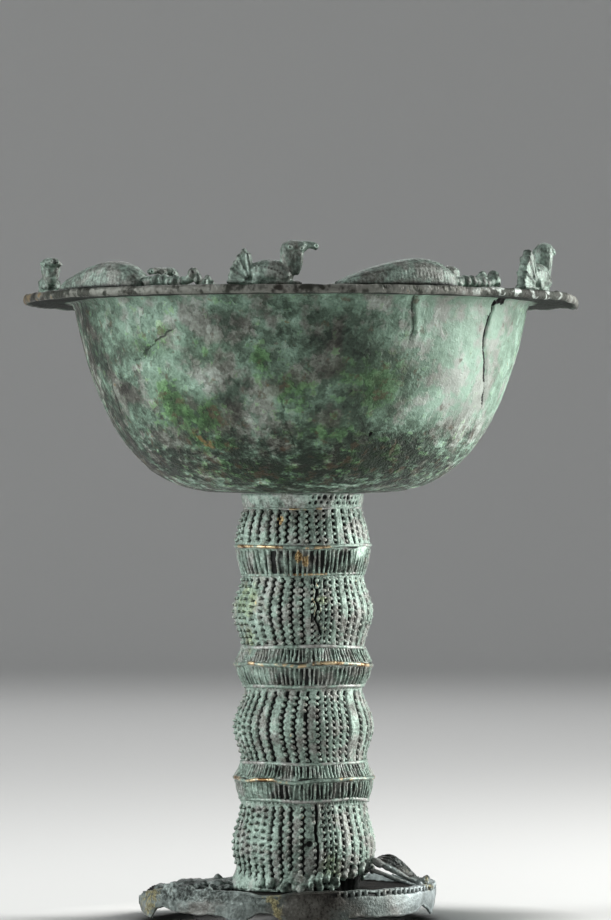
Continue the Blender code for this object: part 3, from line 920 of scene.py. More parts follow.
def row_sway(number, share):
    """How far each row of a beaded section has strayed, in radians, at each share of its height."""
    draws = np.random.default_rng(40 + number)
    lean = np.radians(draws.normal(0.0, 0.9, STEM_ROWS))
    bow = np.radians(BEADED[number][2] + draws.normal(0.0, 0.5, STEM_ROWS))
    share = np.asarray(share)[..., None]
    return lean * (share - 0.5) + bow * (4.0 * share * (1.0 - share) - 1.0)


def filled(angle, height):
    """1 where dirt fills the grooves, which the photograph shows on the left of the front."""
    left = fade(angle, -8.0, -42.0)
    back = fade(angle, -150.0, -110.0)
    wander = 0.25 * np.sin(3.0 * angle + 90.0 * height) + 0.2 * np.sin(260.0 * height)
    return np.clip(left * back * (0.75 + wander), 0.0, 0.85)


def row_angles(section, share):
    """Angle of every column of a beaded section at each share of its height."""
    rows = row_places(section[-1]) + row_sway(section[-1], share)
    following = np.roll(rows, -1, axis=-1)
    following[:, -1] += TAU
    part = np.arange(ROW_COLUMNS) / ROW_COLUMNS
    columns = rows[..., None] + part * (following - rows)[..., None]
    return columns.reshape(len(share), -1)


def column_angles(heights):
    """Angle of every column of the stem at each height, eased over from one beaded section to the next."""
    levels, angles = [], []
    for section in STEM:
        if section[0] == "beaded":
            share = np.linspace(0.0, 1.0, 30)
            levels.append(section[1] + share * section[2])
            angles.append(row_angles(section, share))
    levels, angles = np.concatenate(levels), np.concatenate(angles)
    return np.stack([np.interp(heights, levels, column) for column in angles.T], -1)


def bead_places():
    """Of every bead: angle, height, radius there, free width in mm, pitch, tilt, how far it is a bridge."""
    draws = np.random.default_rng(17)
    places = []
    for section in STEM:
        kind, base, tall = section[:3]
        if kind != "beaded":
            continue
        pitch, tilt = BEADED[section[-1]][:2]
        count = round((tall - 1.6 * MM) / pitch)
        for row in range(STEM_ROWS):
            phase = draws.uniform(-0.3, 0.3)
            share = (0.8 * MM + (np.arange(count) + 0.5 + phase) * pitch) / tall
            share = share[share < 1.0 - 0.8 * MM / tall]
            columns = row_angles(section, share)
            angle = columns[:, row * ROW_COLUMNS]
            wide = (columns[:, row * ROW_COLUMNS + ROW_COLUMNS // 2] - angle) * 2.0 * STEM_REACH
            bridge = fade(angle, 6.0, 30.0)
            bridge = 0.75 * bridge * fade(angle, 150.0, 110.0)
            for i in range(len(share)):
                height = base + share[i] * tall
                radius = section_radius(section, share[i])
                places.append((angle[i], height, radius, wide[i], pitch, tilt, bridge[i]))
    return places


def pit_finder(places):
    """Finds the nearest pit: beside a bead, or under it where the beads are bridges."""
    tree = kdtree.KDTree(len(places))
    for number, (angle, height, radius, _, pitch, _, bridge) in enumerate(places):
        beside = 0.95 * MM * (1.0 - bridge) / radius
        below = 0.5 * pitch * bridge + 0.25 * MM * (1.0 - bridge)
        tree.insert(round_axis(radius, angle + beside, height - below), number)
    tree.balance()
    return tree


def near_split(angle, height):
    for pixels in STEM_SPLITS:
        stops = sorted(on_stem(*pixel)[::-1] for pixel in pixels)
        levels, angles = np.array(stops).T
        if levels[0] < height < levels[-1]:
            if abs(turned(angle, np.interp(height, levels, angles))) * STEM_REACH < 0.8:
                return True
    return False


def torn_edge(angle):
    """Height of the stem's ragged lower edge, which rises towards the right of the front."""
    right = fade(angle, 2.0, 62.0)
    right = right * fade(angle, 150.0, 95.0)
    ragged = 0.45 * np.sin(11.0 * angle) + 0.35 * np.sin(23.0 * angle + 1.0) + 0.2 * np.sin(41.0 * angle)
    return STEM_BOTTOM + (7.0 * right + 1.1 * ragged * np.clip(2.0 * right, 0.0, 1.0)) * MM


def beaded_relief(surface, end, filling, flare, grooves, pits):
    """Cut and darkness of a beaded section, the darkness partly dark patina and partly painted shade: grooves
    between its rows, and pits beside its beads.
    """
    cut = GROOVE_DEPTH * grooves * smooth(0.2 * MM, 1.5 * MM, end) * (1.0 - filling)
    grime_and_shade = cut / (0.9 * MM)
    apart = np.array([pits.find(place)[2] for place in surface.reshape(-1, 3)]).reshape(filling.shape)
    pit = bump(apart, 0.56 * MM) * smooth(0.0, 0.8 * MM, end)
    grime_and_shade = grime_and_shade + (1.25 - 0.35 * filling) * pit * (1.0 - np.clip(2.0 * flare, 0.0, 1.0))
    return cut + STEM_PIT_DEPTH * pit, grime_and_shade


def collar_relief(angle, rise, tall, rough, wavy):
    """Cut and darkness of the plain collar, partly dark patina and partly painted shade: two rows of small
    pits on the right of the front.
    """
    cut, grime_and_shade = np.zeros_like(angle), np.zeros_like(angle)
    for share, turn in ((0.36, 0.0), (0.72, 0.045)):
        for pit in np.radians(np.arange(8.0, 80.0, 5.6)) + turn:
            across = (angle - pit) * 24.0 * MM + 0.6 * MM * wavy
            apart = np.hypot(across, rise - share * tall) + 0.5 * MM * rough
            cut += 1.2 * MM * bump(apart, 0.55 * MM)
            grime_and_shade += 1.1 * bump(apart, 0.62 * MM)
    return cut, grime_and_shade


def stem_damage(angle, level, radius, wavy, cut, grime_and_shade):
    """Cut and darkness, partly dark patina and partly painted shade, with the splits, the casting holes, the
    chip and the torn lower edge, and the chip.
    """
    for pixels in STEM_SPLITS:
        across, beyond = across_crack(pixels, angle, level, stem_radius, stem_axis(level.mean()))
        crack = bump(np.hypot(across + 0.3 * MM * wavy, beyond), 0.38 * MM)
        edges = bump(np.hypot(np.abs(across + 0.3 * MM * wavy) - 0.9 * MM, beyond), 0.4 * MM)
        cut = cut * (1.0 - 0.9 * edges) + SPLIT_DEPTH * crack - 0.35 * MM * edges
        grime_and_shade = grime_and_shade * (1.0 - 0.8 * edges) + 1.6 * crack
    hole = spotted(angle, level, radius, STEM_HOLES)
    chip = bump(np.hypot(turned(angle, CHIP_ANGLE) * radius * 0.7, level - CHIP_HEIGHT), 3.4 * MM)
    # Painted shade: below the ragged lower edge the sunk stem goes black.
    torn = smooth(0.5 * MM, -0.5 * MM, level - torn_edge(angle))
    cut = cut * (1.0 - chip) + CASTING_HOLE_DEPTH * hole + TORN_DEPTH * torn
    grime_and_shade = grime_and_shade * (1.0 - chip) + 2.0 * hole + 2.0 * torn
    return cut, grime_and_shade, chip


def section_rings(section, grooves, pits):
    """The rings of a section's surface, and how dark each point is painted: partly for dark patina, partly as
    painted shade.
    """
    kind, base, tall = section[:3]
    count = max(2, round(tall / RING_STEP))
    share = (np.arange(count) + 0.5) / count
    height = base + share * tall
    angle = column_angles(height)
    level = np.broadcast_to(height[:, None], angle.shape)
    radius = np.broadcast_to(section_radius(section, share)[:, None], angle.shape)
    end = np.minimum(share, 1.0 - share)[:, None] * tall
    surface = round_axis(radius, angle, level)
    rough = lumps(surface, 420.0, 3, 5.0)
    wavy = lumps(surface, 130.0, 2, 8.0)
    flare = smooth(24.0 * MM, 12.0 * MM, level) * sector(angle, -80.0, 0.9)
    filling = np.maximum(filled(angle, level), np.clip(1.8 * flare, 0.0, 1.0))
    if kind == "beaded":
        filling = np.maximum(filling, 0.35 if section[-1] == 0 else 0.0)
        cut, grime_and_shade = beaded_relief(surface, end, filling, flare, grooves, pits)
    elif kind == "ribbed":
        cut = 0.6 * MM * smooth(0.1 * MM, 1.0 * MM, end) * (1.0 - 0.7 * filling)
        grime_and_shade = (0.60 + 0.9 * wavy) * smooth(0.1 * MM, 1.4 * MM, end) * (1.0 - 0.5 * filling)
    elif kind == "thread":
        cut = np.full_like(angle, 0.3 * MM)
        grime_and_shade = 0.5 + wavy
    else:
        cut, grime_and_shade = collar_relief(angle, level - base, tall, rough, wavy)
    cut, grime_and_shade, chip = stem_damage(angle, level, radius, wavy, cut, grime_and_shade)
    skirt = FLARE_REACH * flare**1.3 * (1.0 + 0.25 * rough) + 0.5 * MM * chip
    place = radius - cut + (0.24 + 0.10 * (kind == "plain")) * MM * rough + skirt - 0.08 * MM
    return round_axis(place, angle, level, stem_axis(level)), np.clip(grime_and_shade, 0.0, 1.0)


def make_stem(material, places):
    columns = np.arange(ROW_COLUMNS)
    part = np.tile(np.minimum(columns, ROW_COLUMNS - columns) / ROW_COLUMNS, STEM_ROWS)
    grooves = 1.0 - smooth(0.08, 0.22, part)
    pits = pit_finder(places)
    rings, grime_and_shade = zip(*(section_rings(section, grooves, pits) for section in STEM))
    rings = np.concatenate(rings)
    rings[0, :, 2] = STEM_BOTTOM
    rings[-1, :, 2] = STEM_TOP
    bore = [
        round_axis(BORE_RADIUS, column_angles([level])[0], level, stem_axis(level))
        for level in (STEM_TOP, STEM_BOTTOM)
    ]
    mesh = skin("stem_cast", np.concatenate((rings, bore)), closed=True)
    paint(mesh, "hollow", np.concatenate((*grime_and_shade, np.zeros((2, rings.shape[1])))))
    paint_stem(mesh)
    return add_piece("stem_cast", mesh, material)


# Rubbed places on the stem: pixel, half width and half height in pixels, and strength
GOLD_SPOTS = (
    (281, 521, 4, 6, 1.5),
    (299, 557, 5, 6, 2.0),
    (306, 561, 4, 6, 2.0),
    (292, 521, 3, 6, 0.7),
    (306, 510, 7, 1.5, 1.0),
    (256, 604, 4, 12, 0.75),
    (290, 735, 3, 3, 1.0),
    (303, 818, 3, 3, 1.0),
    (327, 600, 2, 8, 0.8),
)
MOSS_SPOTS = ((246, 602, 9.0), (332, 866, 4.5), (322, 600, 3.0), (250, 640, 5.0))  # pixel and width in mm


def paint_stem(mesh):
    """Stores where the stem is rubbed golden, stained green or bleached."""
    points = places_of(mesh)
    angle = np.arctan2(points[:, 0] - stem_axis(points[:, 2]), -points[:, 1])
    height = points[:, 2]
    gold = np.zeros(len(points))
    for column, row, width, tall, strength in GOLD_SPOTS:
        middle, level = on_stem(column, row)
        sideways = turned(angle, middle) * STEM_REACH * MM / (width * PIXEL)
        gold = np.maximum(gold, strength * bump(np.hypot(sideways, (height - level) / (tall * PIXEL)), 1.0))
    across, beyond = across_crack(STEM_SPLITS[0], angle, height, stem_radius, stem_axis(0.12))
    gold = np.maximum(gold, 0.75 * bump(np.hypot(np.abs(across) - 1.1 * MM, beyond), 0.6 * MM))
    paint(mesh, "gold", gold)
    paint(mesh, "moss", spotted(angle, height, STEM_REACH * MM, MOSS_SPOTS))
    bleach = 1.7 * smooth(0.163, 0.170, height) + smooth(0.032, 0.014, height) * smooth(0.3, -0.6, angle)
    chip = bump(np.hypot(turned(angle, CHIP_ANGLE) * 20.0 * MM, height - CHIP_HEIGHT), 3.6 * MM)
    paint(mesh, "bleach", np.clip(bleach + 0.30 * filled(angle, height) + 2.2 * chip, 0.0, 2.2))


LOST_BEADS = 0.02  # share of them


def make_stem_beads(material, places):
    points, turns, sizes = [], [], []
    draws = np.random.default_rng(18)
    for angle, height, radius, wide, pitch, tilt, bridge in places:
        near_chip = abs(height - 0.149) < 2.5 * MM and 0.85 < turned(angle, 0.0) < 1.4
        lost = near_chip or near_split(angle, height) or height < torn_edge(angle) + 0.4 * MM
        if draws.random() < LOST_BEADS or lost:
            continue
        fill = float(filled(angle, height))
        sink = (0.34 - 0.16 * fill + 0.45 * bridge) * MM
        angle = angle - 0.10 * wide * (1.0 - bridge) / STEM_REACH
        points.append(round_axis(radius - sink, angle, height, stem_axis(height)))
        turns.append((0.0, tilt + draws.normal(0.0, 0.12), angle))
        long = (0.36 + 0.095 * min(wide, 5.0)) * MM * draws.uniform(0.85, 1.15) + 0.20 * MM * tilt
        long = long * (1.0 + 0.35 * bridge) * (1.0 - 0.22 * fill)
        tall = ((0.38 - 0.11 * bridge) * pitch - 0.12 * MM * tilt) * draws.uniform(0.88, 1.12)
        tall = tall * (1.0 - 0.28 * fill)
        sizes.append((long, 0.88 * MM, tall))
    piece = beads("stem_beads", points, turns, sizes, material, 3)
    places = places_of(piece.data)
    put(piece.data, places + 0.14 * MM * shaken(places, 700.0, 1, 9.0))
    paint_stem(piece.data)
    return piece


def make_stem_ribs(material):
    """Thin uneven ribs across the tapers above and below each thread."""
    draws = np.random.default_rng(23)
    lines = []
    for section in STEM:
        kind, base, tall = section[:3]
        if kind != "ribbed":
            continue
        flaring = section[4] < section[3]
        middle = -math.pi
        while middle < math.pi:
            pitch = FLARE_PITCH if flaring else TAPER_PITCH
            if tall > 10.0 * MM and math.radians(-75.0) < middle < math.radians(9.0):
                pitch = 1.5 * pitch
            middle += pitch / (26.0 * MM) * draws.uniform(0.65, 1.35)
            lean = draws.normal(0.0, 0.016)
            share = np.linspace(0.03, 0.97, 7)
            angle = middle + lean * (share - 0.5) + draws.normal(0.0, 0.004, len(share))
            height = base + share * tall
            lift = (0.10 - 0.35 * filled(angle, height)) * MM * np.array((0.0, 1.0, 1.0, 1.0, 1.0, 1.0, 0.0))
            radius = section_radius(section, share) - 0.22 * MM + lift
            if CHIP_HEIGHT - 4.0 * MM < base + 0.5 * tall < CHIP_HEIGHT + 3.0 * MM:
                if abs(turned(middle, CHIP_ANGLE)) < 0.20:
                    continue
            thick = np.array((0.54, 0.49, 0.46, 0.44, 0.46, 0.49, 0.54)) * MM * draws.uniform(0.72, 1.25)
            if tall > 10.0 * MM and math.radians(-75.0) < middle < math.radians(-8.0):
                thick = 1.45 * thick
            thick = thick * draws.uniform(0.85, 1.15, len(share))
            lines.append((round_axis(radius, angle, height, stem_axis(height)), thick, False))
    piece = bars("stem_ribs", lines, material)
    paint_stem(piece.data)
    return piece


# Thread rings from the top down: pixels along the front, radius and how far it stands out in mm, and the
# pixel columns between which it is rubbed golden
THREADS = (
    (((240, 508), (270, 508), (298, 509.5), (313, 509), (340, 507.5), (366, 508)), 0.50, 0.05, (298, 313)),
    (((238, 546), (258, 546.5), (290, 547.5), (315, 548), (340, 545.5), (369, 545)), 0.68, 0.20, (240, 326)),
    (((243, 575), (270, 575), (300, 574.5), (340, 573.5), (366, 572)), 0.52, 0.15, (270, 318)),
    (((242, 646), (258, 647.5), (285, 647), (320, 646), (345, 647), (366, 648)), 0.78, 0.15, None),
    (((238, 664), (249, 663), (255, 663.5), (260, 664.5), (283, 665), (297, 666.7), (304, 666), (316, 663),
      (335, 663), (356, 664), (370, 665.6)), 0.78, 0.12, (236, 376)),
    (((243, 685), (270, 686), (300, 687), (320, 686), (345, 685.5), (366, 685)), 0.80, 0.15, None),
    (((243, 762), (270, 763), (300, 765), (330, 764), (366, 760)), 0.74, 0.15, None),
    (((238, 778), (247, 781.3), (253, 779.7), (274, 779.7), (281, 782.4), (296, 783.5), (315, 780.8),
      (340, 779.7), (345, 778.7), (372, 777.6)), 0.78, 0.12, (236, 376)),
    (((242, 798), (275, 800), (300, 802), (330, 800), (350, 798), (370, 800)), 0.80, 0.15, None),
)
THREAD_POINTS = 240
STEM_LEFT_COLUMN = 238
STEM_RIGHT_COLUMN = 370


def make_threads(material):
    """Rings of thread round the stem. Their waves at the back mirror those in front."""
    lines, rubbed = [], []
    angle = np.linspace(-math.pi, math.pi, THREAD_POINTS, endpoint=False)
    for index, (pixels, thick, proud, gold) in enumerate(THREADS):
        places = sorted(on_stem(column, row) for column, row in pixels)
        knots = np.array([place[0] for place in places])
        heights = np.array([place[1] for place in places])
        around = np.concatenate((knots - TAU, math.pi - knots[::-1], knots + TAU, knots))
        levels = np.concatenate((heights, heights[::-1], heights, heights))
        order = np.argsort(around)
        height = np.interp(angle, around[order], levels[order])
        for _ in range(2):
            height = 0.25 * np.roll(height, 1) + 0.5 * height + 0.25 * np.roll(height, -1)
        radius = stem_radius(float(height.mean())) + (proud - 0.35) * MM
        wobble = 0.12 * MM * np.sin(7.0 * angle + index) * np.sin(3.0 * angle + 2.0 * index)
        path = round_axis(radius + wobble, angle, height, stem_axis(height))
        lines.append((path, thick * MM, True))
        rubbed.append((height.mean(), gold))
    piece = bars("stem_threads", lines, material, sides=8)
    points = places_of(piece.data)
    turn = np.arctan2(points[:, 0] - stem_axis(points[:, 2]), -points[:, 1])
    share = np.zeros(len(points))
    for level, gold in rubbed:
        if gold:
            first, last = gold
            row = HORIZON_ROW + (EYE.z - level) * FOCAL / (EYE_DISTANCE - STEM_REACH * MM)
            low = on_stem(max(first, STEM_LEFT_COLUMN), row, level)[0]
            high = on_stem(min(last, STEM_RIGHT_COLUMN), row, level)[0]
            near = np.abs(points[:, 2] - level) < 1.9 * MM
            here = near & (turn > low - 0.15) & (turn < high + 0.15)
            share = np.where(here, 1.0, share)
            if last - first > 100:
                share = np.where(near, np.maximum(share, 0.7), share)
    paint(piece.data, "gold", share)
    return piece


# Clay: overlapping forms that are merged into one skin


def sphere(segments):
    """Points and faces of a unit sphere."""
    rings = segments // 2
    turn = np.arange(segments) / segments * TAU
    points = [(0.0, 0.0, -1.0)]
    for i in range(1, rings):
        tilt = math.pi * i / rings
        ring = (math.sin(tilt) * np.cos(turn), math.sin(tilt) * np.sin(turn), 0.0 * turn - math.cos(tilt))
        points += np.stack(ring, -1).tolist()
    points.append((0.0, 0.0, 1.0))
    faces = []
    for j in range(segments):
        k = (j + 1) % segments
        faces.append((0, 1 + k, 1 + j))
        faces.append((len(points) - 1, 1 + (rings - 2) * segments + j, 1 + (rings - 2) * segments + k))
        for i in range(rings - 2):
            low = 1 + i * segments
            faces.append((low + j, low + k, low + segments + k, low + segments + j))
    return np.array(points), faces


SPHERES = {segments: sphere(segments) for segments in (12, 20)}


def on_path(path, share):
    """The place at each of these shares of a path's points."""
    columns = np.array(path, float).T
    stops = np.linspace(0.0, 1.0, len(path))
    return np.stack([np.interp(share, stops, column) for column in columns], -1)


class Clay:
    """Closed forms that overlap, in mm, and are then merged into one skin."""

    def __init__(self):
        self.points = []
        self.faces = []
        self.count = 0

    def ball(self, centre, radii, tilt=0.0, segments=20):
        """An ellipsoid. Its tilt lifts the end that points along the first axis."""
        points, faces = SPHERES[segments]
        x, y, z = (points * np.array(radii)).T
        x, z = x * math.cos(tilt) - z * math.sin(tilt), x * math.sin(tilt) + z * math.cos(tilt)
        self.points.append(np.stack((x, y, z), -1) + np.array(centre))
        self.faces += [[self.count + corner for corner in face] for face in faces]
        self.count += len(points)

    def limb(self, path, radii, flat=1.0, steps=12):
        """A rounded bar along a path, with its radii on the way; flat scales its width across it."""
        share = np.linspace(0.0, 1.0, steps)
        line = on_path(path, share)
        for _ in range(2):
            line[1:-1] = 0.25 * line[:-2] + 0.5 * line[1:-1] + 0.25 * line[2:]
        thick = np.interp(share, np.linspace(0.0, 1.0, len(radii)), radii)
        for place, radius in zip(line, thick):
            self.ball(place, (radius, radius * flat, radius), segments=12)

    def mesh(self, name, grain):
        """The merged skin, in mm, with its voxels this large."""
        rough = bpy.data.meshes.new(name)
        rough.from_pydata(np.concatenate(self.points).tolist(), [], self.faces)
        lump = new_object(name, rough)
        merge = lump.modifiers.new("Merge", "REMESH")
        merge.mode = "VOXEL"
        merge.voxel_size = grain
        soften = lump.modifiers.new("Soften", "SMOOTH")
        soften.iterations = 2
        soften.factor = 0.5
        return settled(lump)


def put(mesh, points):
    mesh.vertices.foreach_set("co", np.asarray(points, np.float32).ravel())
    mesh.update()


def cast_clay(clay, name, grain, shake, scale, painter, material, low=-math.inf, high=math.inf):
    """The finished piece of a clay form: merged, roughened, kept between two heights in mm, and painted."""
    mesh = clay.mesh(name, grain)
    points = places_of(mesh)
    points += shake * shaken(points, scale, 3, 6.0)
    points[:, 2] = np.clip(points[:, 2], low, high)
    put(mesh, points * MM)
    paint_hollows(mesh)
    painter(mesh)
    return add_piece(name, mesh, material)


def add_rings(mesh, rings, thick=0.32, turns=18, sides=8):
    """Adds small ring-shaped ridges, given by centre, the direction that they face and radius, all in mm."""
    form = bmesh.new()
    form.from_mesh(mesh)
    for centre, facing, radius in rings:
        facing = Vector(facing).normalized()
        side = facing.orthogonal().normalized()
        other = facing.cross(side)
        rows = []
        for i in range(turns):
            a = TAU * i / turns
            out = side * math.cos(a) + other * math.sin(a)
            row = []
            for j in range(sides):
                b = TAU * j / sides
                reach = radius + thick * math.cos(b)
                row.append(form.verts.new(Vector(centre) + out * reach + facing * thick * math.sin(b)))
            rows.append(row)
        for i, row in enumerate(rows):
            following = rows[(i + 1) % turns]
            for j in range(sides):
                k = (j + 1) % sides
                form.faces.new((row[j], row[k], following[k], following[j]))
    form.normal_update()
    form.to_mesh(mesh)
    form.free()


def bent_to_rim(points, angle):
    """Points given in mm along the rim, outwards and up, moved to an animal's place."""
    along, out, up = np.asarray(points, float).T * MM
    turn = math.radians(angle) + along / ANIMAL_RADIUS
    return round_axis(ANIMAL_RADIUS + out, turn, ANIMAL_BASE + up)


# Animals

BIRDS = (  # node and angle in degrees
    ("bird_left", -84.0),
    ("bird_front", -6.3),
    ("bird_right", 67.5),
    ("bird_back_right", 138.0),
    ("bird_back_left", 209.0),
)
TORTOISES = (
    ("tortoise_front_left", -42.9),
    ("tortoise_front_right", 28.8),
    ("tortoise_back_right", 172.0),
    ("tortoise_back_left", 243.4),
)
BIRD_MODEL_HEIGHT = 17.2
ANIMAL_GRAIN = 0.36
# The stepped edge of a bird's tail, as places along the bird and heights in mm
TAIL_TIPS = (
    (-16.4, 1.3), (-16.0, 3.7), (-15.2, 6.2), (-14.0, 8.6), (-12.5, 11.0), (-10.8, 13.2), (-9.0, 11.6),
)
TAIL_ROOTS = ((-10.0, 1.2), (-9.6, 1.8), (-9.3, 2.4), (-9.0, 3.0), (-8.7, 3.6), (-8.4, 4.2), (-7.9, 4.6))
# Paths through a bird's other parts, in mm along it, across and up
WING = ((-6.0, 2.8, 7.2), (-1.0, 4.0, 6.6), (3.0, 4.1, 5.0), (6.4, 3.3, 3.0))
NECK = ((6.3, 0.0, 13.6), (6.1, 0.0, 10.8), (6.8, 0.0, 7.8), (8.2, 0.0, 5.0))
BREAST = ((10.5, 0.0, 13.4), (10.6, 0.0, 10.4), (10.3, 0.0, 7.4), (9.5, 0.0, 4.8))
BEAK = ((11.5, 0.0, 15.0), (14.2, 0.0, 15.3), (16.2, 0.0, 14.9), (16.7, 0.0, 14.6))


def bird_clay():
    c = Clay()
    c.ball((-1.0, 0.0, 5.0), (8.8, 4.2, 4.8))
    c.ball((4.2, 0.0, 3.8), (4.2, 4.0, 3.6))
    c.ball((-1.5, 0.0, 0.9), (13.5, 3.4, 1.4))
    c.ball((-4.6, 2.6, 2.2), (2.2, 1.7, 2.4))
    c.ball((-4.6, -2.6, 2.2), (2.2, 1.7, 2.4))
    for side in (-1.0, 1.0):
        c.limb([(x, y * side, z) for x, y, z in WING], (0.5, 0.6, 0.6, 0.5))
    tips, roots = np.array(TAIL_TIPS), np.array(TAIL_ROOTS)
    for i, ((x, z), (tip_x, tip_z)) in enumerate(zip(TAIL_ROOTS, TAIL_TIPS)):
        c.limb(((x, 0.0, z), (tip_x, 0.0, tip_z)), (1.2, 1.0), flat=2.3 + 0.35 * (-1) ** i, steps=20)
    for share in (0.33, 0.67):
        between_roots = roots[:-1] + share * (roots[1:] - roots[:-1])
        between_tips = tips[:-1] + share * (tips[1:] - tips[:-1])
        for (x, z), (tip_x, tip_z) in zip(between_roots, between_tips):
            near_x, near_z = x + 0.94 * (tip_x - x), z + 0.94 * (tip_z - z)
            c.limb(((x, 0.0, z), (near_x, 0.0, near_z)), (1.2, 1.1), flat=2.0, steps=20)
    c.limb(NECK, (3.1, 3.1, 2.5, 1.4), 1.28, 18)
    c.limb(BREAST, (1.8, 1.6, 1.4, 1.1), 1.7, 16)
    c.ball((7.9, 0.0, 14.2), (4.3, 3.9, 2.9))
    c.ball((10.6, 0.0, 14.5), (3.3, 3.2, 2.3))
    c.limb(BEAK, (1.9, 1.5, 1.4, 1.35), 0.9)
    for side in (-1.0, 1.0):
        c.ball((7.3, 3.4 * side, 14.2), (1.25, 0.8, 1.25))
        c.ball((11.4, 2.7 * side, 13.8), (1.2, 0.8, 1.3))
    return c.mesh("bird_clay", ANIMAL_GRAIN)


def make_bird(name, clay, angle, material, seed):
    mesh = clay.copy()
    rings = []
    for side in (-1.0, 1.0):
        rings.append(((7.3, 4.1 * side, 14.2), (0.0, side, 0.1), 0.62))
        rings.append(((11.4, 3.35 * side, 13.8), (0.2, side, 0.1), 0.58))
        rings.append(((16.8, 1.2 * side, 14.8), (0.35, side, 0.1), 0.60))
    add_rings(mesh, rings, thick=0.24)
    points = places_of(mesh)
    height = (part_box(name)[1].z - ANIMAL_BASE) / MM
    model = points * np.array((1.0, 1.0, height / BIRD_MODEL_HEIGHT))
    model += 0.16 * shaken(points, 0.45, 2, 9.0, seed)
    model[:, 2] = np.clip(model[:, 2], 0.0, height)
    model[:, 0] = np.clip(model[:, 0], -0.5 * BIRD_LENGTH, 0.5 * BIRD_LENGTH)
    model[:, 1] = np.clip(model[:, 1], -0.5 * BIRD_WIDTH - 0.2, 0.5 * BIRD_WIDTH + 0.2)
    put(mesh, bent_to_rim(model, angle))
    paint_hollows(mesh)
    return add_piece(name + "_cast", mesh, material)


def tortoise_shell():
    """Rows of points over the shell, in mm, from its rear end to its front."""
    crown, shell = 0.66, 0.655
    middle = np.linspace(0.055, 0.955, 96)
    share = np.concatenate((np.linspace(0.0, 0.04, 4), middle, np.linspace(0.965, 1.0, 6)))
    turn = np.linspace(0.0, math.pi, 46)
    reach = (share - crown) / np.where(share < crown, crown, 1.0 - crown)
    rear = (1.0 - np.abs(reach) ** 1.6).clip(0.0)
    front = (1.0 - np.abs(reach) ** 2.2).clip(0.0) ** 0.6
    arch = np.where(reach < 0.0, rear, front)
    side = np.sqrt((1.0 - (2.0 * share - 1.0) ** 4).clip(0.0))
    half = (0.16 + 0.34 * side) * TORTOISE_WIDTH
    tall = (0.16 + 0.84 * arch) * TORTOISE_HEIGHT
    along = (shell * share - 0.5) * TORTOISE_LENGTH
    lift = np.sin(turn)[None, :] ** 0.75
    edge = smooth(0.60, 0.66, lift) * smooth(0.10, 0.3, arch)[:, None]
    ribs = np.cos(along * 4.6)[:, None] ** 2 * smooth(0.1, 0.25, lift) * smooth(0.66, 0.55, lift)
    second = bump(lift - 0.86, 0.025) * smooth(0.3, 0.6, arch)[:, None]
    push = 0.30 * edge + 0.13 * ribs - 0.22 * second
    out = -(half[:, None] + push - 0.3) * np.cos(turn)
    up = (tall[:, None] + push - 0.3) * lift
    return np.stack((np.broadcast_to(along[:, None], up.shape), out, up.clip(0.0, TORTOISE_HEIGHT)), -1)


def tortoise_head():
    c = Clay()
    for x, r, up, wide in (
        (13.6, 2.0, 1.2, 2.6),
        (17.4, 2.2, 2.4, 3.0),
        (20.6, 1.9, 2.7, 2.8),
        (23.2, 1.6, 1.9, 2.3),
        (25.8, 1.9, 2.3, 2.6),
        (28.6, 1.6, 1.9, 2.2),
        (33.2, 2.2, 4.7, 2.6),
    ):
        c.ball((x, 0.0, up), (r, wide, r + 0.45))
    c.limb(((12.0, 0.0, 2.2), (20.0, 0.0, 2.4), (28.0, 0.0, 1.8), (31.5, 0.0, 2.6), (33.2, 0.0, 4.0)),
           (2.2, 2.1, 1.7, 1.8, 1.9), 1.1, 22)
    c.ball((35.2, 0.0, 2.6), (1.5, 1.9, 2.4))
    for side in (-1.0, 1.0):
        c.ball((33.6, 2.0 * side, 5.2), (0.9, 0.8, 0.9))
    return c.mesh("head_clay", ANIMAL_GRAIN)


def make_tortoise(name, parts, angle, material, seed):
    form = bmesh.new()
    for part in parts:
        form.from_mesh(part)
    mesh = bpy.data.meshes.new(name + "_cast")
    form.to_mesh(mesh)
    form.free()
    points = places_of(mesh)
    model = points + 0.14 * shaken(points, 0.5, 2, 9.0, seed)
    model[:, 2] = np.clip(model[:, 2], 0.0, TORTOISE_HEIGHT)
    model[:, 0] = np.clip(model[:, 0], -0.5 * TORTOISE_LENGTH, 0.5 * TORTOISE_LENGTH)
    put(mesh, bent_to_rim(model, angle))
    paint_hollows(mesh, 0.18)
    return add_piece(name + "_cast", mesh, material)


# Foot

FOOT_RADIUS = 59.4 * MM
FOOT_X = -5.4 * MM
FOOT_HEIGHT = 15.6 * MM
FOOT_BAND = 4.0 * MM
PLATE_TOP = STEM_BOTTOM - 0.3 * MM
PLATE_UNDERSIDE = PLATE_TOP - 2.9 * MM
HOLE_RADIUS = 16.5 * MM
WORN_GAP = 5.6 * MM
SAG = (math.radians(-120.0), math.radians(80.0), 3.6 * MM)  # angle, half width and depth
# The broken lower edge in front, in pixels; between columns 292 and 335 it rests on the ground
FRONT_EDGE = (
    (138.5, 904), (140, 910), (143, 914), (148.5, 918), (151, 913), (156, 908), (162, 907), (168, 910),
    (178, 913), (188, 914), (200, 915.5), (212, 915), (221, 917), (229, 921), (240, 922), (247, 920),
    (255, 914.5), (262, 913), (270, 914), (276, 917), (284, 924), (292, 931), (335, 931), (345, 921),
    (358, 917), (385, 916.5), (403, 916), (416, 913), (424, 905.5), (429, 909), (432.5, 914), (434.5, 908),
    (436, 899),
)
BACK_PADS = ((135.0, 15.0), (-141.0, 18.0))  # that it rests on behind: angle and half width in degrees
FOOT_COLUMNS = 480
LOBE_ROUNDING = 3.4 * MM  # how far the left lobe's band is rounded back at its edges
TEETH = (20.0, 172.0, 2.9)  # first and last angle and pitch, in degrees
LOST_TEETH = 0.04  # share of them


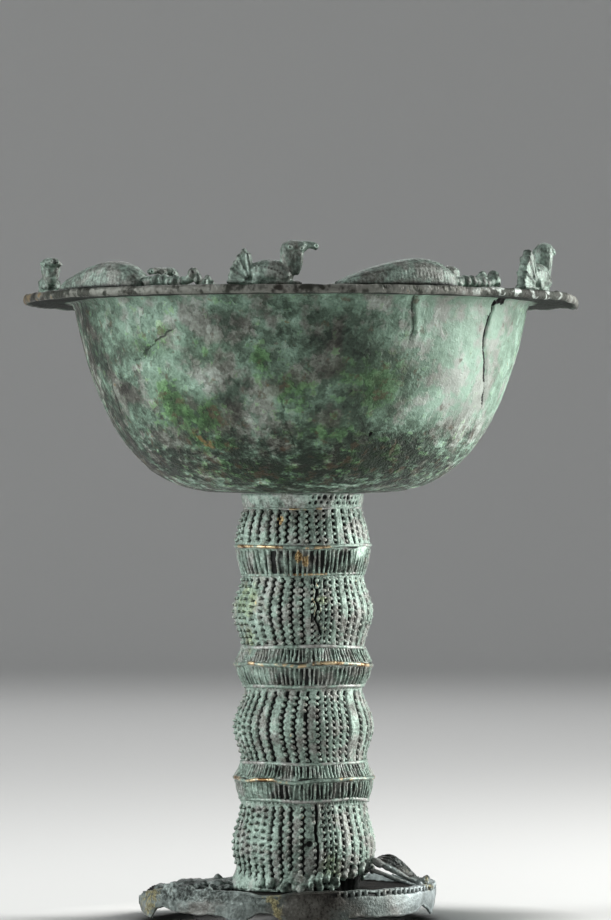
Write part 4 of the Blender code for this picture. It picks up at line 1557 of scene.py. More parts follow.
def worn_edge(angle):
    """Height of the foot's broken lower edge."""
    seen = [seen_at(column, row, lambda level: FOOT_RADIUS, FOOT_X) for column, row in FRONT_EDGE]
    front = np.interp(turned(angle, 0.0), *np.array(seen).T)
    closed = [
        np.minimum(1.0, 2.0 * swell(angle, math.radians(pad), math.radians(half)))
        for pad, half in BACK_PADS
    ]
    behind = WORN_GAP * (1.0 - np.maximum.reduce(closed))
    share = smooth(math.radians(94.0), math.radians(104.0), np.abs(turned(angle, math.radians(-5.0))))
    edge = front + share * (behind - front)
    ragged = round_noise(angle, 14.0, 3.0, 4)
    return np.clip(edge + (0.4 + 0.5 * share) * MM * ragged * smooth(0.0, 1.5 * MM, edge), 0.0, None)


def foot_lip(angle):
    lip = FOOT_HEIGHT - SAG[2] * swell(angle, SAG[0], SAG[1])
    lip -= 1.7 * MM * sector(angle, -7.0, math.radians(8.0))
    lip -= 2.6 * MM * sector(angle, -95.0, math.radians(16.0))
    return lip + (0.35 * round_noise(angle, 9.0) - 0.35) * MM


def foot_rings(edge, lip, tip):
    """Radius, height and sideways shift of each ring, up the band, over the lip and plate, and back below."""
    inner = FOOT_RADIUS - FOOT_BAND
    hole_x = stem_axis(STEM_BOTTOM) - FOOT_X
    rows = []

    def row(*values):
        rows.append(np.broadcast_arrays(*values, edge)[:3])

    row(inner + 0.9 * MM, edge + 0.25 * MM + 4.0 * MM * tip, 0.0)
    row(FOOT_RADIUS - 1.2 * MM, edge, 0.0)
    row(FOOT_RADIUS - 0.4 * MM, edge + 0.4 * MM, 0.0)
    for share in np.linspace(0.05, 1.0, 16):
        belly = 0.5 * MM * math.sin(math.pi * share)
        row(FOOT_RADIUS - 0.5 * MM + belly, edge + 0.6 * MM + share * (lip - 1.5 * MM - edge), 0.0)
    for turn in np.linspace(0.2, 0.5 * math.pi, 4):
        out, up = math.cos(turn), math.sin(turn)
        row(FOOT_RADIUS - 1.3 * MM + 1.3 * MM * out, lip - 0.9 * MM + 0.9 * MM * up, 0.0)
    for share in (0.35, 0.7, 1.0):
        row(FOOT_RADIUS - 1.3 * MM - share * (FOOT_BAND - 2.2 * MM), lip, 0.0)
    for share in np.linspace(0.1, 1.0, 6):
        row(inner + 0.8 * MM * (1.0 - share), lip + share * (PLATE_TOP - lip), 0.0)
    for share in np.linspace(0.04, 1.0, 24):
        row(inner + share * (HOLE_RADIUS - inner), PLATE_TOP, share * hole_x)
    for share in np.linspace(1.0, 0.04, 12):
        row(inner + share * (HOLE_RADIUS - inner), PLATE_UNDERSIDE, share * hole_x)
    for share in np.linspace(0.1, 0.95, 6):
        row(inner, PLATE_UNDERSIDE + share * (edge + 3.6 * MM * tip - PLATE_UNDERSIDE), 0.0)
    return (np.array(part) for part in zip(*rows))


def milled_band(angle, radius, below):
    """1 where the band is sunk under the lip, behind its milled edge."""
    milled = fade(angle, 12.0, 24.0) * fade(angle, 176.0, 168.0)
    milled = milled * smooth(0.2 * MM, 0.6 * MM, below) * smooth(2.5 * MM, 1.8 * MM, below)
    return milled * (radius > FOOT_RADIUS - 1.5 * MM)


def make_foot(material):
    around = np.linspace(-math.pi, math.pi, FOOT_COLUMNS, endpoint=False)
    edge, lip = worn_edge(around), foot_lip(around)
    inner = FOOT_RADIUS - FOOT_BAND
    tip = sector(around, -68.0, math.radians(13.0)) + sector(around, 74.0, 0.16)
    radius, height, shift = foot_rings(edge, lip, tip)
    angle = np.broadcast_to(around, radius.shape)
    surface = round_axis(radius, angle, height, FOOT_X + shift)
    crumbly = np.maximum(sector(angle, -70.0, 0.75), 0.6 * sector(angle, 170.0, 0.9))
    rough = lumps(surface, 190.0, 4)
    fine = lumps(surface, 520.0, 3, 4.0)
    push = (0.25 + 1.0 * crumbly) * MM * rough + (0.12 + 0.3 * crumbly) * MM * fine
    middle = 0.5 * (edge + lip)
    from_middle = np.clip(np.abs(height - middle) / (lip - middle + 0.3 * MM), 0.0, 1.0)
    lobe = sector(angle, -86.0, 0.42) * (radius > inner + 0.5 * MM)
    lobe = lobe * np.where(height > middle, 1.0, 0.25)
    push = push - LOBE_ROUNDING * lobe * (1.0 - np.sqrt(1.0 - from_middle**2))
    milled = milled_band(angle, radius, lip - height)
    push = push * smooth(-0.5 * MM, 2.5 * MM, height - edge) - 0.5 * MM * milled
    on_plate = (height < PLATE_TOP + 0.2 * MM) & (radius < inner - 0.5 * MM)
    away = np.where(on_plate, 0.0, 1.0)
    radius = np.minimum(radius + away * push, FOOT_RADIUS)
    rise = np.where(height > edge + 2.0 * MM, 0.5 * push * away, 0.0) - 0.3 * MM * on_plate * np.abs(fine)
    height = np.clip(height + rise, 0.0, None)
    mesh = skin("foot_cast", round_axis(radius, angle, height, FOOT_X + shift), closed=True)
    # The foot's hollows, and the band sunk behind the milled edge, for painted shade.
    paint_hollows(mesh, 0.3, added=0.8 * milled.ravel())
    paint_foot(mesh)
    return add_piece("foot_cast", mesh, material)


def paint_foot(mesh):
    """Stores where the foot is crusted yellow, worn dark and shiny, bright with a painted highlight, or in
    painted shade on the sunk plate.
    """
    points = places_of(mesh)
    angle = np.arctan2(points[:, 0] - FOOT_X, -points[:, 1])
    height = points[:, 2]
    yellow = 0.80 * sector(angle, -66.0, 0.15) * smooth(0.0, 6.0 * MM, height)
    yellow = yellow + 0.35 * sector(angle, -84.0, 0.16)
    stripe = -0.044 - 6.8 * (height - 5.0 * MM)
    wide = 0.04 + 0.03 * smooth(9.0 * MM, 13.0 * MM, height)
    yellow = yellow + 0.85 * np.exp(-((turned(angle, 0.0) - stripe) / wide) ** 2)
    yellow = yellow + 0.9 * sector(angle, 74.0, 0.10) * smooth(11.5 * MM, 14.0 * MM, height)
    dark = sector(angle, 13.0, 0.30)
    flap = smooth(28.0 * MM, 31.0 * MM, points[:, 0]) * smooth(16.5 * MM, 18.5 * MM, height)
    dark = np.maximum(dark, flap * smooth(-13.2 * MM, -11.6 * MM, points[:, 1]))
    # Bright: a painted highlight, partly silvery worn metal, on the lit right side and on the lobe's lower
    # edge in front.
    bright = fade(angle, 36.0, 66.0) * smooth(2.9, 1.9, np.abs(angle))
    bright = bright * smooth(17.0 * MM, 16.0 * MM, height)
    foot_of_lobe = sector(angle, -21.0, 0.12) * smooth(6.0 * MM, 1.0 * MM, height)
    inside = np.hypot(points[:, 0] - FOOT_X, points[:, 1]) < FOOT_RADIUS - 3.4 * MM
    crust = sector(angle, -52.0, 0.62) * smooth(-6.0 * MM, -3.0 * MM, height - foot_lip(angle))
    paint(mesh, "crust", crust)
    paint(mesh, "yellow", np.clip(yellow, 0.0, 1.0) * ~inside)
    paint(mesh, "worn", np.clip(dark, 0.0, 1.0))
    paint(mesh, "bright", np.clip(bright + foot_of_lobe, 0.0, 1.0))
    # Painted shade on the plate's top, sunk inside the band under the stem.
    paint(mesh, "dim", inside & (height < PLATE_TOP + 0.35 * MM))


def make_foot_teeth(material):
    """The milled edge under the lip, from the front round the right to the back."""
    draws = np.random.default_rng(31)
    angle = np.radians(np.arange(*TEETH))
    angle = angle[draws.random(len(angle)) > LOST_TEETH]
    lip = foot_lip(angle)
    points = round_axis(FOOT_RADIUS - 0.80 * MM, angle, lip - 1.35 * MM, FOOT_X)
    turns = np.stack((0.0 * angle, draws.normal(0.05, 0.06, len(angle)), angle), -1)
    wide = draws.uniform(0.80, 1.05, len(angle)) * MM
    sizes = np.stack((wide, 0.0 * angle + 0.84 * MM, 0.0 * angle + 1.55 * MM), -1)
    piece = beads("foot_teeth", points, turns, sizes, material, 5, unevenness=0.08)
    paint_foot(piece.data)
    return piece


# Places along the bent strap's bars, in mm, and along the top of its flap, as x and height in mm
UPPER_BAR = (
    (28.9, -12.5, 24.5), (32.0, -12.8, 22.9), (35.8, -13.0, 20.9), (41.0, -12.6, 18.2), (46.6, -11.5, 15.2),
)
LOWER_BAR = (
    (28.3, -14.0, 20.6), (32.0, -14.6, 19.4), (35.8, -15.0, 17.8), (41.0, -14.6, 15.9), (46.5, -13.4, 14.2),
)
FLAP = ((29.6, 24.6), (32.6, 26.3), (36.0, 26.6), (39.5, 24.3), (43.5, 20.4), (47.6, 16.0), (50.2, 13.6))
STRAP_CRUMBS = 22
FINE_GRAIN = 0.42  # mm


def make_strap(material):
    """A ribbed flap bent up beside the stem, with two bars in front of it and crumbs on the band."""
    c = Clay()
    c.limb(UPPER_BAR, (1.3, 1.1, 1.2, 0.95, 0.85), steps=26)
    c.limb(LOWER_BAR, (0.9, 0.9, 1.0, 0.9, 0.8), steps=26)
    c.ball((30.6, -13.0, 23.4), (2.7, 1.6, 1.7), tilt=-0.55)
    c.ball((34.2, -13.3, 21.6), (1.7, 1.4, 1.3), tilt=-0.4)
    stops = np.linspace(0.0, 1.0, 14)
    top = on_path([(x, -8.0, z - 0.5) for x, z in FLAP], stops)
    low = on_path(UPPER_BAR, stops)
    for share in np.linspace(0.0, 0.82, 4):
        c.limb(top + share * (low - top), (0.62, 0.7, 0.6), steps=34)
        c.limb(top + (share + 0.1) * (low - top) + np.array((0.0, 0.9, -0.5)), (0.6, 0.6, 0.6), steps=34)
    for across in (-6.6, -5.2, -3.8):
        c.limb([(x, across, z - 0.9) for x, z in FLAP], (0.75, 0.85, 0.9, 0.85, 0.8, 0.8, 0.8), steps=30)
    draws = np.random.default_rng(12)
    for _ in range(STRAP_CRUMBS):
        size = draws.uniform(0.7, 1.3)
        place = (48.6 + draws.normal(0, 1.3), -11.0 + draws.normal(0, 1.8), 14.9 + abs(draws.normal(0, 1.1)))
        c.ball(place, (size,) * 3)
    return cast_clay(c, "foot_strap", FINE_GRAIN, 0.22, 0.5, paint_foot, material)


# Crumbly lumps: beside the stem on the left of the plate, and hanging from the stem's lower edge
CRUST_LINE = (  # x and height of its crest, in mm
    (-57.0, 13.4), (-52.0, 15.2), (-46.0, 17.2), (-40.0, 17.0), (-34.0, 17.8), (-31.0, 17.4), (-26.0, 17.2),
)
CRUST_LUMPS = 120  # on the plate, and as many on the lip
CRUST_BOUNDS = (8.0, 21.0)  # heights in mm
DRIPS = (  # pixel, half width and half height in mm
    (283, 886, 2.2, 1.8), (301, 887, 2.4, 3.0), (297, 881, 2.2, 2.2), (291, 879, 1.7, 2.0),
    (311, 883, 1.6, 2.2), (319, 880, 2.0, 2.0), (328, 878, 1.6, 2.0), (338, 880, 1.7, 1.5),
    (346, 875, 1.6, 1.7), (355, 872, 1.5, 1.5), (268, 885, 2.2, 1.6), (258, 885, 2.0, 1.2),
    (364, 869, 1.5, 1.6),
)
BACK_DRIPS = 48


def make_crust(material):
    """Crumbly lumps on a low mound over the plate, and on the lip in front of it."""
    c = Clay()
    draws = np.random.default_rng(8)
    for _ in range(CRUST_LUMPS):
        share = draws.random()
        x, top = on_path(CRUST_LINE, share)
        y = draws.uniform(-15.0, 13.0) * (0.5 + 0.8 * share)
        size = draws.uniform(0.9, 2.2)
        drop = abs(y) / 14.0
        height = max(12.4, top - size - 2.0 * drop - draws.uniform(0.0, 1.6))
        c.ball((x, y, height), (size * 1.15, size * 1.2, size), segments=12)
    for x, top in CRUST_LINE:
        c.ball((x, -1.0, top - 3.4), (4.5, 9.0, 2.4))
    c.ball((-33.0, -3.0, 17.0), (1.6, 1.7, 1.6))
    for _ in range(CRUST_LUMPS):
        column = 162.0 + 82.0 * draws.random() ** 1.3
        row = 886.0 + 0.12 * (column - 162.0) + draws.uniform(-1.5, 10.0)
        size = draws.uniform(0.7, 1.8)
        angle, height = seen_at(column, row, lambda level: FOOT_RADIUS, FOOT_X)
        place = round_axis(FOOT_RADIUS / MM - 0.72 * size, angle, height / MM, FOOT_X / MM)
        c.ball(place, (size * 1.1, size, 0.9 * size), segments=12)
    return cast_clay(c, "foot_crust", 0.5, 0.5, 0.35, paint_foot, material, *CRUST_BOUNDS)


def make_drips(material):
    """Lumps along the stem's ragged lower edge."""
    c = Clay()
    draws = np.random.default_rng(9)
    for column, row, wide, tall in DRIPS:
        angle, height = seen_at(column, row, lambda z: 29.0 * MM, stem_axis(STEM_BOTTOM))
        place = round_axis(28.0 * MM, angle, height, stem_axis(STEM_BOTTOM)) / MM
        c.ball(place, (0.8 * wide, 1.6, tall))
        c.ball(place + np.array((0.4 * wide, 0.3, 1.6)), (0.7 * wide, 1.3, 0.9 * tall))
    for i in range(BACK_DRIPS):
        angle = math.radians(-24.0 + i * 6.0 + draws.uniform(-2.0, 2.0))
        size = draws.uniform(0.7, 1.6)
        level = torn_edge(angle) / MM + draws.uniform(0.2, 1.6)
        place = round_axis(27.0 + draws.uniform(-0.6, 0.6), angle, level, stem_axis(STEM_BOTTOM) / MM)
        c.ball(place, (size, size, size * 1.3), segments=12)
    return cast_clay(c, "stem_drips", FINE_GRAIN, 0.40, 0.4, paint_stem, material, STEM_BOTTOM / MM)


# Materials


class Finish(Nodes):
    """A material."""

    def __init__(self, name):
        self.material = bpy.data.materials.new(name)
        self.material.use_nodes = True
        super().__init__(self.material.node_tree)
        self.shader = self.nodes["Principled BSDF"]
        self.place = self.add("ShaderNodeTexCoord", output="Object")

    def larger(self, first, second):
        return self.add("ShaderNodeMath", {"operation": "MAXIMUM"}, {0: first, 1: second})

    def speckle(self, scale, detail=3.0, roughness=0.6, stretch=None, distortion=0.0):
        """Noise of this many lumps to the metre, 0 to 1."""
        place = self.place
        if stretch:
            place = self.add("ShaderNodeMapping", None, {"Vector": place, "Scale": stretch})
        sockets = {"Vector": place, "Scale": scale, "Detail": detail, "Roughness": roughness}
        sockets["Distortion"] = distortion
        return self.add("ShaderNodeTexNoise", None, sockets)

    def flakes(self, scale):
        """Tones of ragged flakes, this many to the metre, 0 to 1."""
        coarse = {"Vector": self.place, "Scale": 2.0 * scale, "Detail": 2.0}
        stir = self.add("ShaderNodeTexNoise", None, coarse, output=1)
        sockets = {"Vector": self.mix(0.0035, self.place, stir), "Scale": scale, "Smoothness": 0.5}
        return self.add("ShaderNodeTexVoronoi", {"feature": "SMOOTH_F1"}, sockets, "Color")

    def painted(self, name):
        return self.add("ShaderNodeAttribute", {"attribute_name": name}, output="Fac")

    def step(self, value, low, high):
        """0 below low, 1 above high."""
        sockets = {"Value": value, "From Min": low, "From Max": high}
        return self.add("ShaderNodeMapRange", {"interpolation_type": "SMOOTHSTEP"}, sockets)

    def line(self, name, width, waver, wander=0.0):
        """1 along a painted crack, whose width follows a noise. Wander moves it sideways with the noise."""
        across = self.painted(name) + wander * (waver - 0.5)
        size = self.add("ShaderNodeMath", {"operation": "ABSOLUTE"}, {0: across})
        return self.step((5.0 * width) * (waver - 0.36) - size, -0.25 * MM, 0.25 * MM)

    def mix(self, share, first, second):
        sockets = {"Factor_Float": share, "A_Color": first, "B_Color": second}
        return self.add("ShaderNodeMix", {"data_type": "RGBA"}, sockets, output=2)

    def ramp(self, value, *stops):
        return self.add("ShaderNodeValToRGB", {"stops": stops}, {"Fac": value})

    def finish(self, colour, roughness, metallic, height, depth, specular=0.5):
        """Links the surface up. The height makes the bump, and the depth is its size in metres."""
        relief = self.add("ShaderNodeBump", None, {"Height": height, "Distance": depth, "Strength": 1.0})
        surface = {"Base Color": colour, "Roughness": roughness, "Metallic": metallic, "Normal": relief}
        self.plug(self.shader, surface | {"Specular IOR Level": specular})
        return self.material


SHADE_PLACES = (0.10, 0.34, 0.54, 0.76, 1.00)


def shades(*colours):
    """The stops of a ramp, from the darkest colour to the palest."""
    return tuple(zip(SHADE_PLACES, colours))


COOL_STOPS = shades(
    (0.018, 0.024, 0.019),
    (0.070, 0.092, 0.075),
    (0.165, 0.220, 0.185),
    (0.290, 0.390, 0.330),
    (0.470, 0.590, 0.520),
)
WARM_STOPS = shades(
    (0.022, 0.018, 0.015),
    (0.085, 0.078, 0.068),
    (0.190, 0.182, 0.168),
    (0.330, 0.335, 0.315),
    (0.520, 0.540, 0.520),
)
FOOT_STOPS = shades(
    (0.016, 0.019, 0.018),
    (0.070, 0.084, 0.078),
    (0.180, 0.212, 0.200),
    (0.320, 0.372, 0.355),
    (0.500, 0.575, 0.555),
)
BOWL_STOPS = shades(
    (0.012, 0.022, 0.014),
    (0.055, 0.088, 0.062),
    (0.142, 0.222, 0.166),
    (0.272, 0.398, 0.318),
    (0.450, 0.600, 0.510),
)
GREEN_STOPS = shades(
    (0.010, 0.026, 0.008),
    (0.036, 0.090, 0.028),
    (0.088, 0.200, 0.068),
    (0.190, 0.355, 0.150),
    (0.400, 0.590, 0.340),
)
MOSS_STOPS = shades(
    (0.020, 0.030, 0.012),
    (0.090, 0.120, 0.055),
    (0.220, 0.300, 0.140),
    (0.380, 0.500, 0.260),
    (0.600, 0.700, 0.450),
)
BLACK = (0.003, 0.003, 0.003)


def patina(f, tone, warm, green, *cool):
    """Cool grey-green bronze with pinkish-grey and mossy patches, all of the same tone."""
    colour = f.mix(warm, f.ramp(tone, *(cool or COOL_STOPS)), f.ramp(tone, *WARM_STOPS))
    return f.mix(green, colour, f.ramp(tone, *GREEN_STOPS))


def cracks_and_holes(f, spots):
    """1 in the wall's cracks and where it is broken through."""
    waver = f.speckle(170.0, 4.0, 0.7)
    black = f.line("split", 0.8 * MM, waver, 5.0 * MM)
    for name, width, depth in (
        ("seam", 0.5, 0.7),
        ("lower_crack", 0.45, 0.5),
        ("thin_crack", 0.42, 0.7),
        ("worn_line", 0.40, 0.7),
    ):
        black = f.larger(black, depth * f.line(name, width * MM, waver, 4.0 * MM))
    return f.larger(black, f.step(f.painted("hole") + 0.9 * spots, 0.42, 0.60))


def lip_colour(f, mottle, spots, silver, bright):
    """Brown and grey worn bronze, with bright places that are partly painted highlights."""
    worn = f.step(mottle + 0.6 * spots + 0.8 * silver * (1.0 - 1.3 * silver), -0.02, 0.16)
    dull = f.mix(worn, (0.016, 0.014, 0.010), (0.150, 0.148, 0.132))
    return f.mix(bright, dull, (0.30, 0.33, 0.31))


def bowl_patina():
    """Mottled green, grey and dark patina with painted shade low down and in some dark patches and painted
    highlights in some pale ones, calm on the right, streaked on the left, with a worn lip that has painted
    highlights and painted shade under the rim.
    """
    f = Finish("bowl_patina")
    cloud = f.speckle(40.0, 2.0, 0.5, distortion=0.2) - 0.5
    mottle = f.speckle(130.0, 2.0, 0.5) - 0.5
    flake = f.flakes(400.0) - 0.5
    spots = f.speckle(330.0, 2.0, 0.5, distortion=0.3) - 0.5
    grain = f.speckle(900.0, 2.0, 0.5) - 0.5
    streak = f.speckle(420.0, 3.0, 0.6, stretch=(1.0, 1.0, 0.14)) - 0.5
    layer = f.speckle(150.0, 4.0, 0.65, stretch=(1.0, 1.0, 3.2)) - 0.5
    calm, low, lip, silver, shade = (f.painted(name) for name in ("calm", "low", "lip", "silver", "shade"))
    rough = 1.0 - 0.75 * calm + 0.9 * low
    tone = 0.49 + 0.60 * cloud + rough * (0.60 * mottle + 0.34 * flake + 0.24 * spots + 0.38 * grain)
    tone = tone + (1.9 * streak - 0.14) * f.painted("streaked") + 2.2 * layer * low + 0.03 * calm
    # Painted shade and highlights: darker low down and in the shaded dark patches, paler in the highlit pale
    # patches.
    tone = tone + 0.22 * f.painted("pale") - 0.29 * f.painted("dark") - 0.15 * low
    tone = tone - 0.16 * f.painted("green")
    warmth = f.speckle(90.0, 3.0, 0.6) + 0.16 * flake + 0.24 * f.painted("warm")
    warm = f.step(warmth + 0.10 * f.painted("streaked"), 0.50, 0.66)
    green = f.step(0.6 * f.speckle(170.0, 4.0, 0.7) + 0.4 * flake + 0.34 * f.painted("green"), 0.42, 0.50)
    moss = 0.42 * f.painted("green") + 0.62 * green
    colour = patina(f, tone, 0.72 * warm, 0.92 * moss * (1.0 - 0.8 * calm), *BOWL_STOPS)
    brown = f.step(f.speckle(210.0, 3.0, 0.6) + 0.10 * f.painted("green") + 0.06 * low, 0.62, 0.72)
    colour = f.mix(0.6 * brown, colour, (0.070, 0.045, 0.024))
    rust = f.step(1.4 * spots + 0.40 * f.painted("rust"), 0.30, 0.48)
    colour = f.mix(0.7 * rust, colour, (0.175, 0.112, 0.038))
    # Painted highlights: pale silvery flecks on the lip, partly worn metal.
    bright = f.step(mottle + 0.9 * spots + 0.14 * silver, 0.15, 0.27) * silver
    colour = f.mix(0.92 * lip, colour, lip_colour(f, mottle, spots, silver, bright))
    gilt = f.step(0.8 * f.painted("gilt") + 2.2 * mottle + 2.0 * spots, 0.60, 1.0)
    colour = f.mix(0.75 * gilt, colour, (0.150, 0.098, 0.038))
    pips = f.step(spots, 0.15, 0.20) * silver
    colour = f.mix(0.95 * shade, colour, f.mix(pips, (0.004, 0.005, 0.004), (0.16, 0.18, 0.16)))
    pitted = f.step(f.painted("pit") + 0.6 * spots, 0.35, 0.75)
    colour = f.mix(pitted, colour, (0.008, 0.009, 0.007))
    black = cracks_and_holes(f, spots)
    colour = f.mix(black, colour, BLACK)
    dark_lip = lip * silver * (1.0 - bright)
    unlit = f.larger(black, shade)
    roughness = 0.60 + 0.4 * mottle - 0.10 * lip + 0.25 * dark_lip + 0.40 * unlit - 0.06 * calm
    metallic = (0.12 + 0.30 * lip - 0.30 * dark_lip + 0.30 * bright * lip) * (1.0 - unlit)
    height = (0.35 * mottle + 0.28 * flake + 0.25 * spots + 0.25 * grain) * rough
    return f.finish(colour, roughness, metallic, height, 1.5 * MM, 0.35)


def paper(name, colour):
    f = Finish(name)
    f.plug(f.shader, {"Base Color": colour, "Roughness": 0.9, "Specular IOR Level": 0.2})
    return f.material


def stem_bronze(name, bead=0.0):
    """Grey-green cast bronze, black in its hollows from dark patina and painted shade, and golden where it is
    rubbed; beads get a painted highlight on top and painted shade underneath.
    """
    f = Finish(name)
    cloud = f.speckle(75.0, 4.0, 0.6) - 0.5
    mottle = f.speckle(260.0, 4.0, 0.65) - 0.5
    grain = f.speckle(1000.0, 3.0, 0.65) - 0.5
    tone = 0.59 + 0.7 * cloud + 1.0 * mottle + 1.2 * grain + 0.16 * f.painted("bleach")
    warm = f.step(f.speckle(120.0, 4.0, 0.6), 0.47, 0.60)
    moss = f.step(f.speckle(240.0, 4.0, 0.7) + 0.30 * f.painted("moss"), 0.58, 0.90)
    colour = patina(f, tone, 0.75 * warm, 0.0)
    colour = f.mix(0.6 * moss, colour, f.ramp(tone, *MOSS_STOPS))
    bright = f.step(f.painted("gold"), 0.9, 1.4)
    hollow = f.step(f.painted("hollow") + 0.7 * mottle + 0.3 * grain - 0.6 * bright, 0.26, 0.70)
    if bead:
        # Painted shade on each bead's underside, and a painted highlight on its upper side.
        under = f.step(f.painted("rise") + 1.2 * mottle, -0.15, -0.75)
        colour = f.mix(0.75 * under, colour, (0.040, 0.030, 0.022))
        painted_bead_highlight = f.step(f.painted("rise") + 2.0 * grain, 0.40, 1.0)
        colour = f.mix(0.6 * painted_bead_highlight, colour, (0.600, 0.580, 0.520))
    rubbed = f.painted("gold") + 1.6 * mottle + 0.8 * grain - 0.6 * hollow
    gold = f.larger(f.step(rubbed, 0.60, 1.0), (0.5 * bead) * f.step(f.speckle(330.0, 2.0, 0.5), 0.70, 0.77))
    golden = f.mix(f.step(grain, -0.06, 0.08), (0.150, 0.085, 0.032), (0.430, 0.330, 0.170))
    colour = f.mix(gold, colour, golden)
    # Painted shade: hollows, grooves and pits go black, partly for dark patina in them.
    colour = f.mix(0.97 * hollow, colour, BLACK)
    roughness = 0.44 + 0.7 * grain - 0.12 * gold + 0.5 * hollow
    metallic = (0.34 + 0.50 * gold) * (1.0 - hollow)
    return f.finish(colour, roughness, metallic, 0.45 * mottle + 0.55 * grain, 1.0 * MM, 0.45)


def thread_bronze():
    """Bright golden wire where it is rubbed, and grey-green elsewhere."""
    f = Finish("thread_bronze")
    cloud = f.speckle(90.0, 3.0, 0.6) - 0.5
    mottle = f.speckle(280.0, 3.0, 0.6) - 0.5
    grain = f.speckle(900.0, 3.0, 0.6) - 0.5
    tone = 0.66 + 0.8 * cloud + 0.9 * mottle + 0.9 * grain
    dull = patina(f, tone, f.step(cloud, -0.05, 0.08), 0.0)
    gold = f.step(0.62 * f.painted("gold") + 2.4 * cloud + 1.0 * mottle, 0.50, 0.72)
    rubbed = f.mix(f.step(mottle + 0.4 * grain, -0.08, 0.07), (0.130, 0.070, 0.026), (0.560, 0.440, 0.270))
    colour = f.mix(gold, dull, rubbed)
    height = 0.5 * mottle + 0.5 * grain
    return f.finish(colour, 0.46 - 0.12 * gold, 0.30 + 0.55 * gold, height, 0.5 * MM, 0.45)


def animal_bronze():
    """Pale grey-green bronze, slightly glossy, with painted shade that turns its hollows black and a painted
    highlight on its ridges.
    """
    f = Finish("animal_bronze")
    mottle = f.speckle(190.0, 4.0, 0.6) - 0.5
    grain = f.speckle(900.0, 3.0, 0.6) - 0.5
    hollow = f.painted("hollow")
    # Painted shade in hollows and painted highlights on ridges.
    tone = 0.48 + 0.9 * mottle + 0.8 * grain - 0.22 * hollow
    colour = patina(f, tone, 0.6 * f.step(f.speckle(110.0, 3.0, 0.6), 0.48, 0.62), 0.0)
    colour = f.mix(0.9 * f.step(hollow + 0.4 * mottle, 0.22, 0.85), colour, BLACK)
    return f.finish(colour, 0.50 + 0.4 * grain, 0.20, 0.5 * mottle + 0.5 * grain, 0.6 * MM, 0.45)


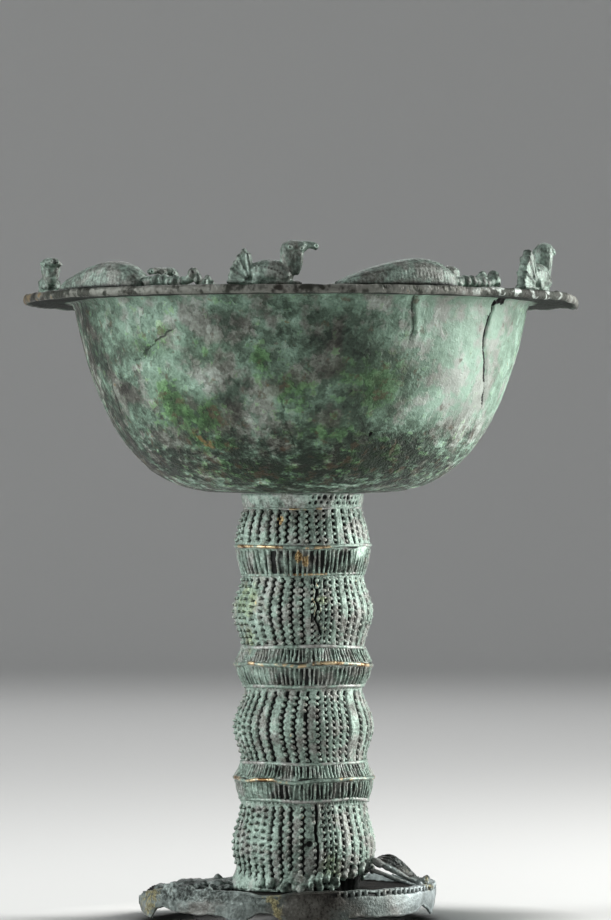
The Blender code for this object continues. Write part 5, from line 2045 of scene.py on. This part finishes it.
def foot_bronze():
    """Worn bronze: dark and shiny in front, silvery on the right with a painted highlight, crusted grey and
    yellow on the left, with painted shade in its hollows and on the sunk plate.
    """
    f = Finish("foot_bronze")
    cloud = f.speckle(85.0, 4.0, 0.6) - 0.5
    mottle = f.speckle(230.0, 4.0, 0.65) - 0.5
    grain = f.speckle(950.0, 3.0, 0.65) - 0.5
    worn = f.painted("worn")
    bright = f.painted("bright")
    hollow = f.painted("hollow")
    tone = 0.52 + 0.60 * cloud + 0.45 * mottle + 0.45 * grain + 0.06 * bright - 0.34 * worn - 0.16 * hollow
    tone = tone + (1.1 * mottle + 0.8 * grain - 0.17) * f.painted("crust")
    warmth = f.speckle(60.0, 3.0, 0.6) + 0.08 * worn - 0.16 * bright - 0.2 * f.painted("crust")
    warm = f.step(warmth, 0.42, 0.66)
    colour = patina(f, tone, 0.75 * warm, 0.0, *FOOT_STOPS)
    # Painted highlight: the bright places turn pale and silvery.
    silver_and_sheen = f.mix(f.step(cloud + mottle, -0.2, 0.2), (0.17, 0.19, 0.20), (0.33, 0.37, 0.40))
    colour = f.mix(0.45 * bright, colour, silver_and_sheen)
    yellow = f.step(f.painted("yellow") + 2.2 * (f.speckle(480.0, 3.0, 0.6) - 0.5) + 1.4 * mottle, 0.42, 0.85)
    earth = f.mix(f.step(grain, -0.08, 0.08), (0.110, 0.094, 0.040), (0.310, 0.280, 0.140))
    colour = f.mix(0.8 * yellow, colour, earth)
    # Painted shade: hollows go black.
    colour = f.mix(0.94 * f.step(hollow + 0.5 * mottle, 0.28, 0.9), colour, BLACK)
    # Painted shade: the sunk plate inside the band goes nearly black.
    floor = f.mix(f.step(mottle, 0.0, 0.15), (0.004, 0.004, 0.003), (0.018, 0.014, 0.010))
    colour = f.mix(f.painted("dim"), colour, floor)
    roughness = 0.50 + 0.6 * grain - 0.18 * worn + 0.4 * f.painted("dim")
    metallic = (0.35 + 0.25 * worn + 0.10 * bright) * (1.0 - f.larger(yellow, f.painted("dim")))
    height = (0.55 * mottle + 0.45 * grain) * (1.0 - 0.55 * bright - 0.3 * worn)
    return f.finish(colour, roughness, metallic, height, 0.9 * MM, 0.2)


add_camera()
add_lights()
add_stage(paper("pale_paper", (0.70, 0.70, 0.69)))
BEADS = bead_tree()
BARS = bar_tree()

cast_bronze = stem_bronze("stem_bronze")
bead_bronze = stem_bronze("bead_bronze", bead=1.0)
bird_bronze = animal_bronze()
worn_bronze = foot_bronze()
stem_bead_places = bead_places()

pieces = [
    (make_bowl(bowl_patina()), "bowl", "green_patina_bronze"),
    (make_stem(cast_bronze, stem_bead_places), "stem", "grey_green_bronze"),
    (make_stem_beads(bead_bronze, stem_bead_places), None, "grey_green_bronze"),
    (make_stem_ribs(cast_bronze), None, "grey_green_bronze"),
    (make_threads(thread_bronze()), None, "grey_green_bronze"),
    (make_drips(cast_bronze), None, "grey_green_bronze"),
    (make_foot(worn_bronze), "foot", "dark_worn_bronze"),
    (make_foot_teeth(worn_bronze), None, "dark_worn_bronze"),
    (make_strap(worn_bronze), None, "dark_worn_bronze"),
    (make_crust(worn_bronze), None, "dark_worn_bronze"),
]
bird_form = bird_clay()
for seed, (name, angle) in enumerate(BIRDS):
    pieces.append((make_bird(name, bird_form, angle, bird_bronze, seed), name, "pale_grey_bronze"))
tortoise_parts = (skin("shell", tortoise_shell(), closed=False), tortoise_head())
for seed, (name, angle) in enumerate(TORTOISES):
    pieces.append((make_tortoise(name, tortoise_parts, angle, bird_bronze, seed), name, "pale_grey_bronze"))
for piece, node, slot in pieces:
    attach(piece, "root")
    if node:
        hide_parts(node)

boxes = {"cad": CAD_BOX, "visual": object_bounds()}
{name: [list(corner) for corner in box] for name, box in boxes.items()}
